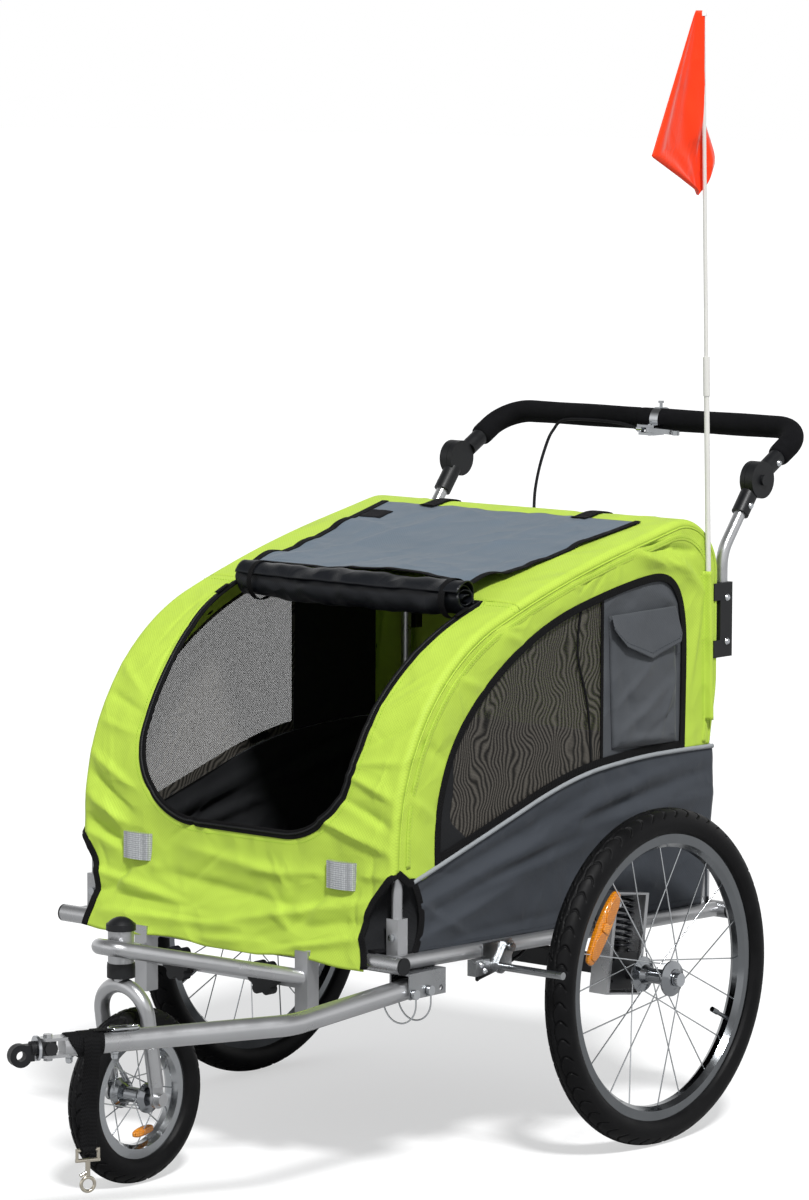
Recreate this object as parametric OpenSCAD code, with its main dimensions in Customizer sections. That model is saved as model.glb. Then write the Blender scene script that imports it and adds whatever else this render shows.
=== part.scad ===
// Bicycle trailer with a swivelling front wheel: a tube chassis, a sewn cabin on two side hoops,
// sprung rear wheels, a tilting push handle with a cable brake, a pinned tow arm and a safety flag.
// Millimetres, +Z up, the hitch end points to -Y, +X is the trailer's own left side.

/* [Wheels] */
// Diameter of a rear tyre
rear_tyre_d = 494; // [470:1:510]
// Width of a rear tyre
rear_tyre_w = 44; // [40:1:48]
// Distance between the middles of the rear tyres
track = 792; // [780:1:820]
// Diameter of the front tyre
front_tyre_d = 250; // [230:1:256]
// Width of the front tyre
front_tyre_w = 44; // [40:1:46]
// Spokes in a rear wheel
rear_spoke_n = 20; // [12:4:28]
// Spokes in the front wheel
front_spoke_n = 16; // [8:4:20]

/* [Chassis] */
// Front cross tube, ahead of the rear axle
front_reach = 489; // [470:1:500]
// Rear cross tube, behind the rear axle
rear_reach = 264; // [255:1:280]
// Height of the front cross tube
front_tube_z = 321; // [315:1:325]
// Height of the rear cross tube
rear_tube_z = 302; // [296:1:308]
// Half length of a cross tube
cross_half = 328; // [322:1:335]
// Outer diameter of the cross tubes
cross_d = 25; // [22:0.5:28]
// Side rail, from the middle
rail_x = 305; // [304:1:308]
// Outer diameter of the side rails
rail_d = 22; // [18:0.5:24]
// Wall of the chassis tubes
tube_wall = 1.6; // [1.2:0.1:2]

/* [Cabin] */
// Half width of the cabin over its cover
cabin_half = 303; // [302:1:304]
// Front of the cabin, ahead of the axle
cabin_front = 478; // [474:1:482]
// Back of the cabin, behind the axle
cabin_rear = 250; // [248:1:251]
// Radius of the curved front edge
front_bow_r = 334; // [320:1:345]
// Height where the front edge starts to curve
front_bow_z = 470; // [460:1:480]
// Turn of the front edge up to the roof
front_bow_turn = 70; // [68:0.5:72]
// Radius of the long roof curve
roof_bow_r = 2200; // [2000:10:2600]
// Radius of the top rear corner
roof_corner_r = 82; // [70:1:84]
// Thickness of the cover
cover_t = 2; // [1.5:0.1:2.2]
// Diameter of the hoop tube
hoop_d = 16; // [14:0.5:17]
// Hoop tube, from the middle
hoop_x = 291; // [289:0.5:292]
// Half width of the front opening
door_half = 214; // [200:1:220]
// Lower edge of the front opening
door_low = 481; // [470:1:500]
// Upper edge of the front opening
door_high = 803; // [800:1:804]

/* [Suspension] */
// Free length of a spring in its bracket
spring_len = 84; // [80:1:84]
// Turns of a spring
spring_turns = 9; // [6:1:11]
// Wire of a spring
spring_wire = 4; // [3:0.5:4.5]
// Mean radius of a spring
spring_r = 14; // [12:0.5:15]
// Rake of the suspension, its foot forward
rake = 8; // [0:0.5:12]

/* [Front wheel] */
// Swivel axis, ahead of the rear axle
head_reach = 712; // [705:1:720]
// Trail of the front wheel behind its swivel axis
trail = 27; // [20:1:40]
// Half spacing of the fork legs
fork_half = 44; // [43:1:50]

/* [Handle] */
// Side tubes of the handle, from the middle
handle_x = 293; // [290:1:296]
// Tilt axis, behind the rear axle
tilt_y = 366; // [360:1:372]
// Height of the tilt axis
tilt_z = 943; // [930:1:955]
// Reach of the grip from the tilt axis
grip_reach = 142; // [130:1:160]
// Slope of the handle over level
grip_slope = 29.5; // [20:0.5:40]
// Diameter of the foam grip
grip_d = 35; // [30:0.5:36]

/* [Tow arm] */
// Diameter of the tow arm
arm_d = 30; // [26:0.5:30]
// Length of the arm past its bend
arm_len = 334; // [300:1:360]
// Bore of the hitch eye
eye_bore = 13.5; // [10:0.5:16]

/* [Flag] */
// Height of the flag pole over the ground
flag_top = 1646; // [1500:1:1700]

/* [Hidden] */
$fn = 48;

// Colours as the photograph shows them
lime = "#b5d943";
slate = "#6f7a84";
webbing = "#1b1c1e";
steel = "#a4a5a6";
chrome = "#d4d6d8";
rubber = "#1d1d1d";
amber = "#f39a1e";
pennant = "#ff5a2a";

// Chassis positions
axle_z = rear_tyre_d / 2;
wheel_x = track / 2;
rail_slope = (rear_tube_z - front_tube_z) / (front_reach + rear_reach);
function rail_z(y) = front_tube_z + (y + front_reach) * rail_slope;

// Cabin outline in (y, z): a front bow, a long roof curve and a tight rear corner
bow_centre = [front_bow_r - cabin_front, front_bow_z];
roof_dir = 180 - front_bow_turn;
bow_end = bow_centre + front_bow_r * [cos(roof_dir), sin(roof_dir)];
roof_centre = bow_end - roof_bow_r * [cos(roof_dir), sin(roof_dir)];
corner_y = cabin_rear - roof_corner_r;
corner_z = roof_centre.y + sqrt(pow(roof_bow_r - roof_corner_r, 2) - pow(corner_y - roof_centre.x, 2));
corner_dir = atan2(corner_z - roof_centre.y, corner_y - roof_centre.x);
function arc(c, r, from, to, n) = [for (i = [0 : n])
    c + r * [cos(from + (to - from) * i / n), sin(from + (to - from) * i / n)]];
function roof_z(y, inset) = roof_centre.y + sqrt(pow(roof_bow_r - inset, 2) - pow(y - roof_centre.x, 2));
function cabin_curve(inset) = concat(
    arc(bow_centre, front_bow_r - inset, 180, roof_dir, 14),
    arc(roof_centre, roof_bow_r - inset, roof_dir - 1, corner_dir + 1, 8),
    arc([corner_y, corner_z], roof_corner_r - inset, corner_dir, 0, 8));

// Hoop, sockets and floor
hoop_inset = cover_t + 1 + hoop_d / 2;
hoop_front_y = hoop_inset + 8 - cabin_front;
hoop_bow_r = bow_centre.x - hoop_front_y;
hoop_bow_z = roof_centre.y
    + sqrt(pow(roof_bow_r - hoop_inset - hoop_bow_r, 2) - pow(bow_centre.x - roof_centre.x, 2));
hoop_dir = atan2(hoop_bow_z - roof_centre.y, bow_centre.x - roof_centre.x);
hoop_rear_y = cabin_rear - hoop_inset;
socket_w = 21;
socket_top = [381, 362];
socket_y = [hoop_front_y, hoop_rear_y];
pin_drop = 26;
hoop_foot = 7;
floor_half = hoop_x - socket_w / 2 - 1.5;
floor_t = 4;

// Suspension bracket around the slider, in (y, z) from the axle
bracket_y = [-54, 26];
bracket_z = [-33, 117];
bracket_wall = 3;
bracket_x = [rail_x + rail_d / 2, rail_x + rail_d / 2 + 32];
lip = 7;
slide_gap = 0.2;
slider_z = [-25, 29.2];
spring_y = -14;
spring_x = bracket_x[0] + bracket_wall + spring_r + spring_wire / 2 + 0.5;
axle_r = 6;
axle_end = wheel_x + 40;

// Rear wheel rings, as radii
rim_edge = 211;
rim_floor = 199;
rim_crown = 190;
rear_reflector_turn = 180 + 55.8;
rim_half = 13;
front_rim_edge = 90;
flange_r = 26;
flange_at = 27;
hub_end = 34;

// Front wheel
front_axle_y = -head_reach + trail;
front_axle_z = front_tyre_d / 2;
fork_tube = 22;
crown_z = 286;
fork_tilt = atan2(trail, crown_z - front_axle_z);
fork_rise = norm([trail, crown_z - front_axle_z]);
front_axle_r = 5;
front_flange_at = 26;
head_z = [318, 364];
head_r = 18.5;
stem_r = 10;

// Carrier posts and knobs
post_x = 156;
post_w = 24;
post_y = -509;
post_z = [229, 325];
strap_z = 278;
knob_x = 83.5;
knob_r = 26;

// Handle
handle_dir = [0, cos(grip_slope), sin(grip_slope)];
tilt_left = [handle_x, tilt_y, tilt_z];
grip_mid = [0, tilt_y, tilt_z] + grip_reach * handle_dir;
handle_bend = 50;
handle_tube_d = 18;
bend_swell = 0.1;
sleeve_y = [cabin_rear, 294.5];
sleeve_z = [683, 795];
stem_y = 283.5;
stem_turn_z = 838;
stem_dir = unit([0, tilt_y - stem_y, tilt_z - stem_turn_z]);
knuckle_r = 28;
knuckle_t = 14;
knuckle_in = 9;
pivot_end = 4.5;
sock_r = 13.5;
sock_from = 20;
sock_len = 62;

// Tow arm: channel, bend and hitch
channel_x = [292, 330];
channel_y = [-476, -399];
channel_z = [272, 308.4];
channel_wall = 3;
arm_x = 311;
arm_back = [arm_x, -402, 288];
arm_bend = [arm_x, -700, 268];
arm_dir = unit([-0.423, -0.906, -0.005]);
arm_tip = arm_bend + arm_len * arm_dir;
pin_at = [[-468, 279], [-436, 281]];
spare_hole_y = -409;
pin_r = 4;
yoke_at = 20;
eye_at = 60;
eye_drop = 8;
eye_r = 15.5;
strap_at = 298;
strap_w = 25;
strap_low = 122;
link_at = 262;

// Brake bar on the left rail
bar_pivot = [-250, 316];
bar_rod = [-268, 290];
bar_end = 436;

// Flag pole: leans forward a little in a sleeve on the left side
pole_x = cabin_half + 6;
pole_foot = [pole_x, 236, 600];
pole_lean = 1.8;
pole_len = (flag_top - pole_foot.z) / cos(pole_lean);
pole_r = 4;

// Brake cable route, from the lever to the cable stop on the left rail
cable_r = 2.5;
cable_route = [
    [-3, 455, 1000], [-50, 464, 1006], [-120, 469, 1007], [-165, 470, 1003], [-178, 464, 988],
        [-178, 450, 972],
    [-157, 405, 937], [-122, 350, 903], [-84, 300, 870], [-62, 268, 820], [-55, 258, 740],
        [-55, 256, 600],
    [-55, 257, 450], [-54, 264, 380], [-51, 281, 330], [-48, 282, 300], [-42, 262, 283], [-10, 190, 285],
    [90, 60, 289], [190, -40, 290], [265, -150, 287], [292, -240, 279], [304, -292, 275],
        [317, -315, 277],
    [323, -320, 287]
];

// The box of the whole object is centred on the origin in y
front_end = arm_bend.y + (arm_len + eye_at + eye_r) * arm_dir.y;
rear_end = grip_mid.y + grip_d / 2;
mid_y = (front_end + rear_end) / 2;

function unit(v) = v / norm(v);
function turn_at(a, b, c) = acos(unit(b - a) * unit(c - b));

module place() translate([0, -mid_y, 0]) children();

module both_sides() {
    children();
    mirror([1, 0, 0]) children();
}

// A frame at p whose z points along z_dir and whose x leans to x_hint
module aim(p, z_dir, x_hint) {
    z = unit(z_dir);
    x = unit(x_hint - (x_hint * z) * z);
    y = cross(z, x);
    multmatrix([[x.x, y.x, z.x, p.x], [x.y, y.y, z.y, p.y], [x.z, y.z, z.z, p.z], [0, 0, 0, 1]])
        children();
}

module ring(outer, inner) {
    difference() {
        circle(outer);
        if (inner > 0) circle(inner);
    }
}

// A straight round bar or tube between two points
module bar(a, b, outer, inner = 0) {
    d = unit(b - a);
    hint = abs(d.z) < 0.9 ? [0, 0, 1] : [1, 0, 0];
    aim(a, d, hint) linear_extrude(norm(b - a)) ring(outer, inner);
}

// A round tube along a path with every corner bent to the same radius; a swell thickens the bends a little,
// and a relief opens their bore
module pipe(path, bend, outer, inner = 0, swell = 0, relief = 0) {
    overlap = swell > 0 ? 0.5 : 0;
    last = len(path) - 1;
    cuts = [for (i = [0 : last])
        i == 0 || i == last ? 0 : bend * tan(turn_at(path[i - 1], path[i], path[i + 1]) / 2)];
    for (i = [0 : last - 1]) {
        d = unit(path[i + 1] - path[i]);
        ends = [i > 0 ? overlap : 0, i < last - 1 ? overlap : 0];
        bar(path[i] + (cuts[i] - ends[0]) * d, path[i + 1] - (cuts[i + 1] - ends[1]) * d, outer, inner);
    }
    for (i = [1 : 1 : last - 1]) {
        d = unit(path[i] - path[i - 1]);
        out = unit(path[i + 1] - path[i]);
        aim(path[i] - cuts[i] * d, d, out)
            translate([bend, 0, 0]) rotate([90, 0, 180])
                rotate_extrude(angle = turn_at(path[i - 1], path[i], path[i + 1]))
                    translate([bend, 0])
                    ring(outer + swell, max(0, inner - swell + relief));
    }
}

// Extrudes a (y, z) outline along x
module along_x(from, to) translate([from, 0, 0]) rotate([90, 0, 90]) linear_extrude(to - from) children();

// A cylinder along x
module x_rod(from, to, y, z, r) translate([from, y, z]) rotate([0, 90, 0]) cylinder(r = r, h = to - from);

module cross_tube(y, z) {
    translate([-cross_half, y, z]) rotate([0, 90, 0]) linear_extrude(2 * cross_half)
        ring(cross_d / 2, cross_d / 2 - tube_wall);
}

// A socket block over the rail, with a hoop cavity, a slot to fold through and a pin hole
module socket(i) {
    y = socket_y[i];
    tube_y = i == 0 ? -front_reach : rear_reach;
    near = [y - socket_w / 2, y + socket_w / 2];
    reach = i == 0 ? [tube_y + 4, near[1]] : [near[0], tube_y - 4];
    base = rail_z(y) + 3;
    foot = rail_z(y) + rail_d / 2 + hoop_foot;
    difference() {
        union() {
            translate([hoop_x - socket_w / 2, near[0], base])
                cube([socket_w, socket_w, socket_top[i] - base]);
            translate([hoop_x - socket_w / 2, reach[0], base]) cube([socket_w, reach[1] - reach[0], 6]);
        }
        translate([hoop_x, y, foot]) cylinder(r = hoop_d / 2 + 0.1, h = 100);
        translate([hoop_x - 40, y - hoop_d / 2 - 0.1, foot]) cube([40, hoop_d + 0.2, 100]);
        translate([hoop_x, y - 30, socket_top[i] - pin_drop]) rotate([-90, 0, 0])
            cylinder(r = 3.05, h = 60);
        rail_body(rail_d / 2);
        x_rod(-400, 400, tube_y, i == 0 ? front_tube_z : rear_tube_z, cross_d / 2 - tube_wall);
    }
}

module rail_body(r) bar([rail_x, -front_reach, front_tube_z], [rail_x, rear_reach, rear_tube_z], r);

module cross_tubes() {
    color(steel) place() {
        cross_tube(-front_reach, front_tube_z);
        cross_tube(rear_reach, rear_tube_z);
        both_sides() for (i = [0, 1]) socket(i);
    }
}

module side_rails() {
    color(steel) place() both_sides() difference() {
        rail_body(rail_d / 2);
        rail_body(rail_d / 2 - tube_wall);
        x_rod(rail_x - 30, rail_x + 30, -front_reach, front_tube_z, cross_d / 2);
        x_rod(rail_x - 30, rail_x + 30, rear_reach, rear_tube_z, cross_d / 2);
    }
}

module end_cap(y, z) {
    x_rod(cross_half, cross_half + 3, y, z, cross_d / 2);
    x_rod(cross_half - 12, cross_half, y, z, cross_d / 2 - tube_wall);
}

// Black caps: four tube ends, the domed top of the head tube and its lower bush
module tube_caps() {
    color(webbing) place() {
        both_sides() {
            end_cap(-front_reach, front_tube_z);
            end_cap(rear_reach, rear_tube_z);
        }
        translate([0, -head_reach, 0]) rotate_extrude() polygon([
            [stem_r + 0.08, 297.2], [20, 297.2], [20, 312], [head_r + 1, head_z[0]],
                [stem_r + 0.08, head_z[0]]]);
        translate([0, -head_reach, head_z[1]]) rotate_extrude() difference() {
            union() {
                square([21, 9]);
                translate([0, 9]) intersection() {
                    translate([0, -14]) circle(24);
                    square([20, 12]);
                }
            }
            square([stem_r + 0.5, 11]);
        }
    }
}

module socket_pins() {
    color(chrome) place() both_sides() for (i = [0, 1]) {
        translate([hoop_x, socket_y[i] - socket_w / 2, socket_top[i] - pin_drop]) rotate([-90, 0, 0]) {
            cylinder(r = 3, h = socket_w);
            translate([0, 0, -3]) cylinder(r = 5.5, h = 3);
            translate([0, 0, socket_w]) cylinder(r = 5.5, h = 1.5, $fn = 6);
        }
    }
}

// One hoop in its own plane: up the front, over the bow and the roof, down the back; every second piece is
// a hair thicker and its neighbours reach into it
module hoop() {
    lap = 0.5;
    swell = 0.1;
    turn = hoop_dir - corner_dir;
    roof_r = roof_bow_r - hoop_inset;
    lap_turn = 2 * asin(lap / 2 / roof_r);
    front_foot = rail_z(hoop_front_y) + rail_d / 2 + hoop_foot;
    rear_foot = rail_z(hoop_rear_y) + rail_d / 2 + hoop_foot;
    difference() {
        translate([hoop_x, 0, 0]) {
            bar([0, hoop_front_y, front_foot], [0, hoop_front_y, hoop_bow_z + lap], hoop_d / 2,
                hoop_d / 2 - tube_wall);
            hoop_arc([bow_centre.x, hoop_bow_z], hoop_bow_r, hoop_dir, 180 - hoop_dir, swell);
            hoop_arc(roof_centre, roof_r, corner_dir - lap_turn, turn + 2 * lap_turn, 0);
            hoop_arc([corner_y, corner_z], roof_corner_r - hoop_inset, 0, corner_dir, swell);
            bar([0, hoop_rear_y, rear_foot], [0, hoop_rear_y, corner_z + lap], hoop_d / 2,
                hoop_d / 2 - tube_wall);
        }
        for (i = [0, 1]) translate([hoop_x, socket_y[i] - 30, socket_top[i] - pin_drop])
            rotate([-90, 0, 0]) cylinder(r = 3.02, h = 60);
    }
}

module hoop_arc(c, r, from, turn, swell) {
    translate([0, c.x, c.y]) rotate([90, 0, 90]) rotate([0, 0, from])
        rotate_extrude(angle = turn) translate([r, 0])
            ring(hoop_d / 2 + swell, hoop_d / 2 - tube_wall - swell);
}

// Two hoops and the two roof bars that hold them apart
roof_bar_y = [-165, 140];
roof_bar_half = hoop_x - hoop_d / 2 - 0.2;
module cabin_frame() {
    color(steel) place() {
        both_sides() hoop();
        for (y = roof_bar_y)
            x_rod(-roof_bar_half, roof_bar_half, y, roof_z(y, hoop_inset), hoop_d / 2 - 1);
    }
}

module floor_panel() {
    front = [-front_reach - 3, front_tube_z + cross_d / 2 + 0.15];
    back = [rear_reach + 3, rear_tube_z + cross_d / 2 + 0.08];
    color(webbing) place() difference() {
        along_x(-floor_half, floor_half)
            polygon([front, back, back + [0, floor_t], front + [0, floor_t]]);
        both_sides() translate([post_x - post_w / 2 - 2, -front_reach - 10, 300])
            cube([post_w + 4, 30, 60]);
    }
}

// The cover over the front, the roof and the back, as one band in (y, z)
cover_low = [-front_reach - cross_d / 2 - 6, 312];
cover_knee = [-cabin_front, 415];
cover_foot = [cabin_rear, 319.5];
cover_split = -204;

module cover_band() {
    outer = concat([cover_low, cover_knee], cabin_curve(0), [cover_foot]);
    inner = concat([cover_low + [cover_t, 0], cover_knee + [cover_t, 0]], cabin_curve(cover_t),
        [cover_foot - [cover_t, 0]]);
    along_x(-cabin_half, cabin_half)
        polygon(concat(outer, [for (i = [len(inner) - 1 : -1 : 0]) inner[i]]));
}

// The door, a rounded opening seen from the front, cut along y; it flares under the roof
door_flare = 18;
module door_outline() {
    low_r = 105;
    bend_z = door_high - 88;
    for (s = [-1, 1]) translate([s * (door_half - low_r), door_low + low_r]) circle(low_r);
    translate([low_r - door_half, door_low]) square([2 * (door_half - low_r), low_r]);
    translate([-door_half, door_low + low_r]) square([2 * door_half, bend_z - door_low - low_r]);
    polygon([[-door_half, bend_z], [door_half, bend_z], [door_half + door_flare * 0.55, door_high - 38],
        [door_half + door_flare, door_high], [-door_half - door_flare, door_high],
            [-door_half - door_flare * 0.55, door_high - 38]]);
}

module through_y(from, to) translate([0, to, 0]) rotate([90, 0, 0]) linear_extrude(to - from) children();

module front_cover() {
    color(lime) place() difference() {
        intersection() {
            cover_band();
            translate([-400, -700, 0]) cube([800, 700 + cover_split, 1000]);
        }
        through_y(-600, cover_split - 1) door_outline();
        both_sides() {
            through_y(-600, -400) polygon([
                [cabin_half + 1, 446], [286, 428], [264, 398], [257, 372], [262, 345], [272, 318],
                    [275, 300],
                [cabin_half + 1, 300]]);
            translate([post_x - post_w / 2 - 4, -600, 300]) cube([post_w + 8, 200, 42]);
        }
    }
}

module roof_cover() {
    color(lime) place() difference() {
        intersection() {
            cover_band();
            translate([-400, cover_split, 0]) cube([800, 700, 1000]);
        }
        both_sides() translate([hoop_x - socket_w / 2 - 3, 200, 300])
            cube([60, 100, socket_top[1] - 296]);
    }
}

// One side of the cover, down to a hem along the rail, cut away round the sockets
module side_cover() {
    inset = cover_t + 0.05;
    front = inset - cabin_front;
    back = cabin_rear - inset;
    hem = rail_d / 2 + 0.6;
    along_x(cabin_half - cover_t, cabin_half) polygon(concat(
        [[front + 38, rail_z(front + 38) + hem], [front + 48, 350], [front + 53, 375], [front + 49, 402],
            [front + 31, 427], [front, 444]],
        cabin_curve(inset),
        [[back, socket_top[1] + 6], [back - 28, socket_top[1] + 6], [back - 28, rail_z(back) + hem]]));
}

// Frame along the flag pole from its foot
module at_pole() aim(pole_foot, [0, -sin(pole_lean), cos(pole_lean)], [1, 0, 0]) children();

// A patch pocket with a flap on the left side
pocket_y = [-4, 165];
pocket_z = [561, 770];
module pocket() {
    along_x(cabin_half - 1, cabin_half + 5) polygon([
        [pocket_y[0], pocket_z[0]], [pocket_y[1] + 6, pocket_z[0] - 3], [pocket_y[1], pocket_z[1] - 30],
        [pocket_y[1] - 14, pocket_z[1]], [pocket_y[0], pocket_z[1]]]);
    along_x(cabin_half + 4, cabin_half + 7) polygon([
        [pocket_y[0] + 1, pocket_z[1] - 2], [pocket_y[1] - 16, pocket_z[1] - 1],
            [pocket_y[1] - 2, pocket_z[1] - 52],
        [95, 698], [25, 719], [pocket_y[0] + 8, pocket_z[1] - 29]]);
}

module side_covers() {
    color(lime) place() {
        mirror([1, 0, 0]) side_cover();
        difference() {
            union() {
                side_cover();
                pocket();
                at_pole() translate([-7, -14, -8]) cube([12.5, 25, 226]);
            }
            at_pole() translate([0, 0, -3]) cylinder(r = pole_r + 0.1, h = 260);
        }
    }
}

// The rolled mesh door: a spiral of cloth that hangs at the top edge of the door
roll_y = -234;
roll_z = 806;
roll_r = 28;
roll_turns = 3;
roll_x = [-204, 226];
roll_t = 4;
function spiral(r0, r1, turns,
    n) = [for (i = [0 : n]) (r0 + (r1 - r0) * i / n) * [cos(360 * turns * i / n),
        sin(360 * turns * i / n)]];

module rolled_flap() {
    outer = spiral(9, roll_r, roll_turns, 72);
    inner = spiral(9 - roll_t, roll_r - roll_t, roll_turns, 72);
    color(webbing) place() along_x(roll_x[0], roll_x[1]) translate([roll_y, roll_z])
        polygon(concat(outer, [for (i = [72 : -1 : 0]) inner[i]]));
}

// The grey flap, taut from the roof out over the roll, and its two webbing straps
flap_t = 1.6;
flap_front_half = 208;
flap_back_half = 238;
flap_front = [-214, 836.6];
flap_back = 152;
flap_bend_y = -60;
strap_x = [-154, 143];
strap_half = 15;
strap_end = 176;

module top_flap() {
    lift = 0.4;
    run = [for (y = [flap_bend_y : 42 : 150]) [y, roof_z(y, -lift)]];
    low = concat([flap_front], run);
    high = [for (i = [len(low) - 1 : -1 : 0]) low[i] + [0, flap_t]];
    color(slate) place() {
        difference() {
            along_x(-flap_back_half, flap_back_half) polygon(concat(low, high));
            both_sides() linear_extrude(1200) polygon([
                [flap_front_half, -400], [400, -400], [400, flap_back], [flap_back_half, flap_back],
                [flap_front_half, -200]]);
        }
        for (x = strap_x) along_x(x - strap_half, x + strap_half) polygon(concat(
            [for (y = [flap_back : 8 : strap_end]) [y, roof_z(y, -0.2)]],
            [for (y = [strap_end : -8 : flap_back]) [y, roof_z(y, -flap_t)]]));
    }
}

// Clear reflectors on the front panel, each a block with five upright faces
reflector_x = [-187, 207];
reflector_z = [416, 455];
module front_reflectors() {
    color("#c9cbcd") place() for (x = reflector_x)
        translate([x, -cabin_front, reflector_z[0]]) linear_extrude(reflector_z[1] - reflector_z[0])
            polygon([[-27, 0], [-24, -8], [-9, -11], [9, -11], [24, -8], [27, 0]]);
}

// Frame of a suspension: origin on the axle, z up along the raked slide
module at_axle() translate([0, 0, axle_z]) rotate([-rake, 0, 0]) children();

// Suspension channel: open outwards, lips that keep the slider in
module suspension_brackets() {
    w = bracket_wall;
    y = bracket_y;
    z = bracket_z;
    x = bracket_x;
    color(steel) place() both_sides() at_axle() difference() {
        translate([x[0], y[0], z[0]]) cube([x[1] - x[0], y[1] - y[0], z[1] - z[0]]);
        translate([x[0] + w, y[0] + w, z[0] + w])
            cube([x[1] - x[0] - 2 * w, y[1] - y[0] - 2 * w, z[1] - z[0] - 2 * w]);
        translate([x[0] + w, y[0] + lip, z[0] + w])
            cube([60, y[1] - y[0] - 2 * lip, z[1] - z[0] - 2 * w]);
    }
}

// A square beam that ties the two suspension channels together under the floor
beam_w = 25;
beam_at = [-40, 262];
module axle_beam() {
    half = bracket_x[0];
    color(webbing) place() difference() {
        translate([-half, beam_at[0] - beam_w / 2, beam_at[1] - beam_w / 2])
            cube([2 * half, beam_w, beam_w]);
        translate([-half - 1, beam_at[0] - beam_w / 2 + 2, beam_at[1] - beam_w / 2 + 2])
            cube([2 * half + 2, beam_w - 4, beam_w - 4]);
    }
}

// Black slider block with its stub axle
module slider() {
    w = bracket_wall;
    x = [bracket_x[0] + w + slide_gap, bracket_x[1] - w - slide_gap];
    y = [bracket_y[0] + w + slide_gap, bracket_y[1] - w - slide_gap];
    at_axle() difference() {
        union() {
            translate([x[0], y[0], slider_z[0]])
                cube([x[1] - x[0], y[1] - y[0], slider_z[1] - slider_z[0]]);
            translate([spring_x, spring_y, slider_z[1] - 1])
                cylinder(r = spring_r - spring_wire / 2 - 2, h = 15);
            x_rod(x[1] - 1, bracket_x[1] + 14, 0, 0, 11);
            x_rod(x[1] - 1, axle_end, 0, 0, axle_r);
            x_rod(axle_end - 5, axle_end + 4, 0, 0, 10);
        }
        for (z = [-14, 18]) translate([spring_x, y[0] + 11, z]) rotate([0, 90, 0])
            cylinder(r = 2.5, h = 40);
    }
}

module left_slider() color(webbing) place() slider();
module right_slider() color(webbing) place() mirror([1, 0, 0]) slider();

// A coil spring as one unbroken six-sided tube
coil_rings = 8 * spring_turns;
coil_rise = spring_len - spring_wire - 0.6;
function coil_point(i) = [
    spring_r * cos(360 * i / 8), spring_r * sin(360 * i / 8), coil_rise * i / coil_rings];
function coil_ring(i) = [for (k = [0 : 5])
    let (a = 360 * i / 8, r = spring_r + spring_wire / 2 * cos(60 * k))
    [r * cos(a), r * sin(a), coil_rise * i / coil_rings + spring_wire / 2 * sin(60 * k)]];

module spring() {
    points = [for (i = [0 : coil_rings]) each coil_ring(i)];
    skin = [for (i = [0 : coil_rings - 1], k = [0 : 5]) each let (a = 6 * i + k, b = 6 * i + (k + 1) % 6)
        [[a, b, a + 6], [b, b + 6, a + 6]]];
    start = [for (k = [1 : 4]) [0, k + 1, k]];
    stop = [for (k = [1 : 4]) [6 * coil_rings, 6 * coil_rings + k, 6 * coil_rings + k + 1]];
    at_axle() translate([spring_x, spring_y, slider_z[1] + spring_wire / 2 + 0.3])
        polyhedron(points, concat(skin, start, stop), convexity = 10);
}

// The least gap of the coil to itself, over points a turn or more apart
coil_gap = min([for (i = [0 : coil_rings - 8]) norm(coil_point(i + 8) - coil_point(i))]) - spring_wire;
echo(spring_gap_mm = coil_gap);

module left_spring() color(rubber) place() spring();
module right_spring() color(rubber) place() mirror([1, 0, 0]) spring();

// Local wheel frame: z along the axle, outwards
module at_wheel() translate([wheel_x, 0, axle_z]) rotate([0, 90, 0]) children();
module at_front() translate([0, front_axle_y, front_axle_z]) rotate([0, 90, 0]) children();

module hub(bore, flange, at, end) {
    rotate_extrude() polygon([
        [bore, -end], [14, -end], [15, 2 - at - 6], [flange, -at - 1.5], [flange, 1.5 - at],
            [15, 6 - at], [11, 14 - at],
        [11, at - 14], [15, at - 6], [flange, at - 1.5], [flange, at + 1.5], [15, at + 6], [14, end],
            [bore, end]]);
}

// Tangent-laced spokes: each leans over its neighbour, alternate sides, both flanges
module spokes(n, hub_r, at, rim_r, lean, r) {
    for (i = [0 : n - 1]) {
        side = i % 2 == 0 ? 1 : -1;
        way = floor(i / 2) % 2 == 0 ? 1 : -1;
        rim_a = 360 * i / n;
        hub_a = rim_a + way * lean;
        bar([hub_r * cos(hub_a), hub_r * sin(hub_a), side * at + way * 1.2],
            [rim_r * cos(rim_a), rim_r * sin(rim_a), side * 3], r);
    }
}

// A rim with hooked walls and a hollow crown; its valve stands inwards
module rim(edge, floor_r, crown, half, valve) {
    rotate_extrude($fn = 96) difference() {
        polygon([[crown, -5], [crown, 5], [floor_r - 3, half], [edge, half], [edge, half - 2],
            [floor_r, half - 2],
            [floor_r, 2 - half], [edge, 2 - half], [edge, -half], [floor_r - 3, -half]]);
        translate([crown + 3.4, 0]) square([4.6, 12], center = true);
    }
    rotate([0, 0, valve]) translate([crown - 34, 0, 0]) rotate([0, 90, 0]) {
        cylinder(r = 3, h = 36);
        translate([0, 0, -6]) cylinder(r = 4, h = 14);
    }
}

// A hollow tyre seated in the rim, with three grooves round its tread
module tyre(outer, width, edge, floor_r, half) {
    r = width / 2;
    rotate_extrude($fn = 96) difference() {
        union() {
            difference() {
                translate([outer - r, 0]) circle(r);
                translate([0, -width]) square([edge, 2 * width]);
            }
            translate([floor_r, 2 - half]) square([edge - floor_r + 4, 2 * half - 4]);
        }
        translate([outer - r, 0]) circle(r - 6);
        translate([floor_r + 4, 6 - half]) square([edge - floor_r, 2 * half - 12]);
        for (z = [-7, 0, 7]) translate([outer - r + sqrt(r * r - z * z), z]) circle(1.1);
    }
}

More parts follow.
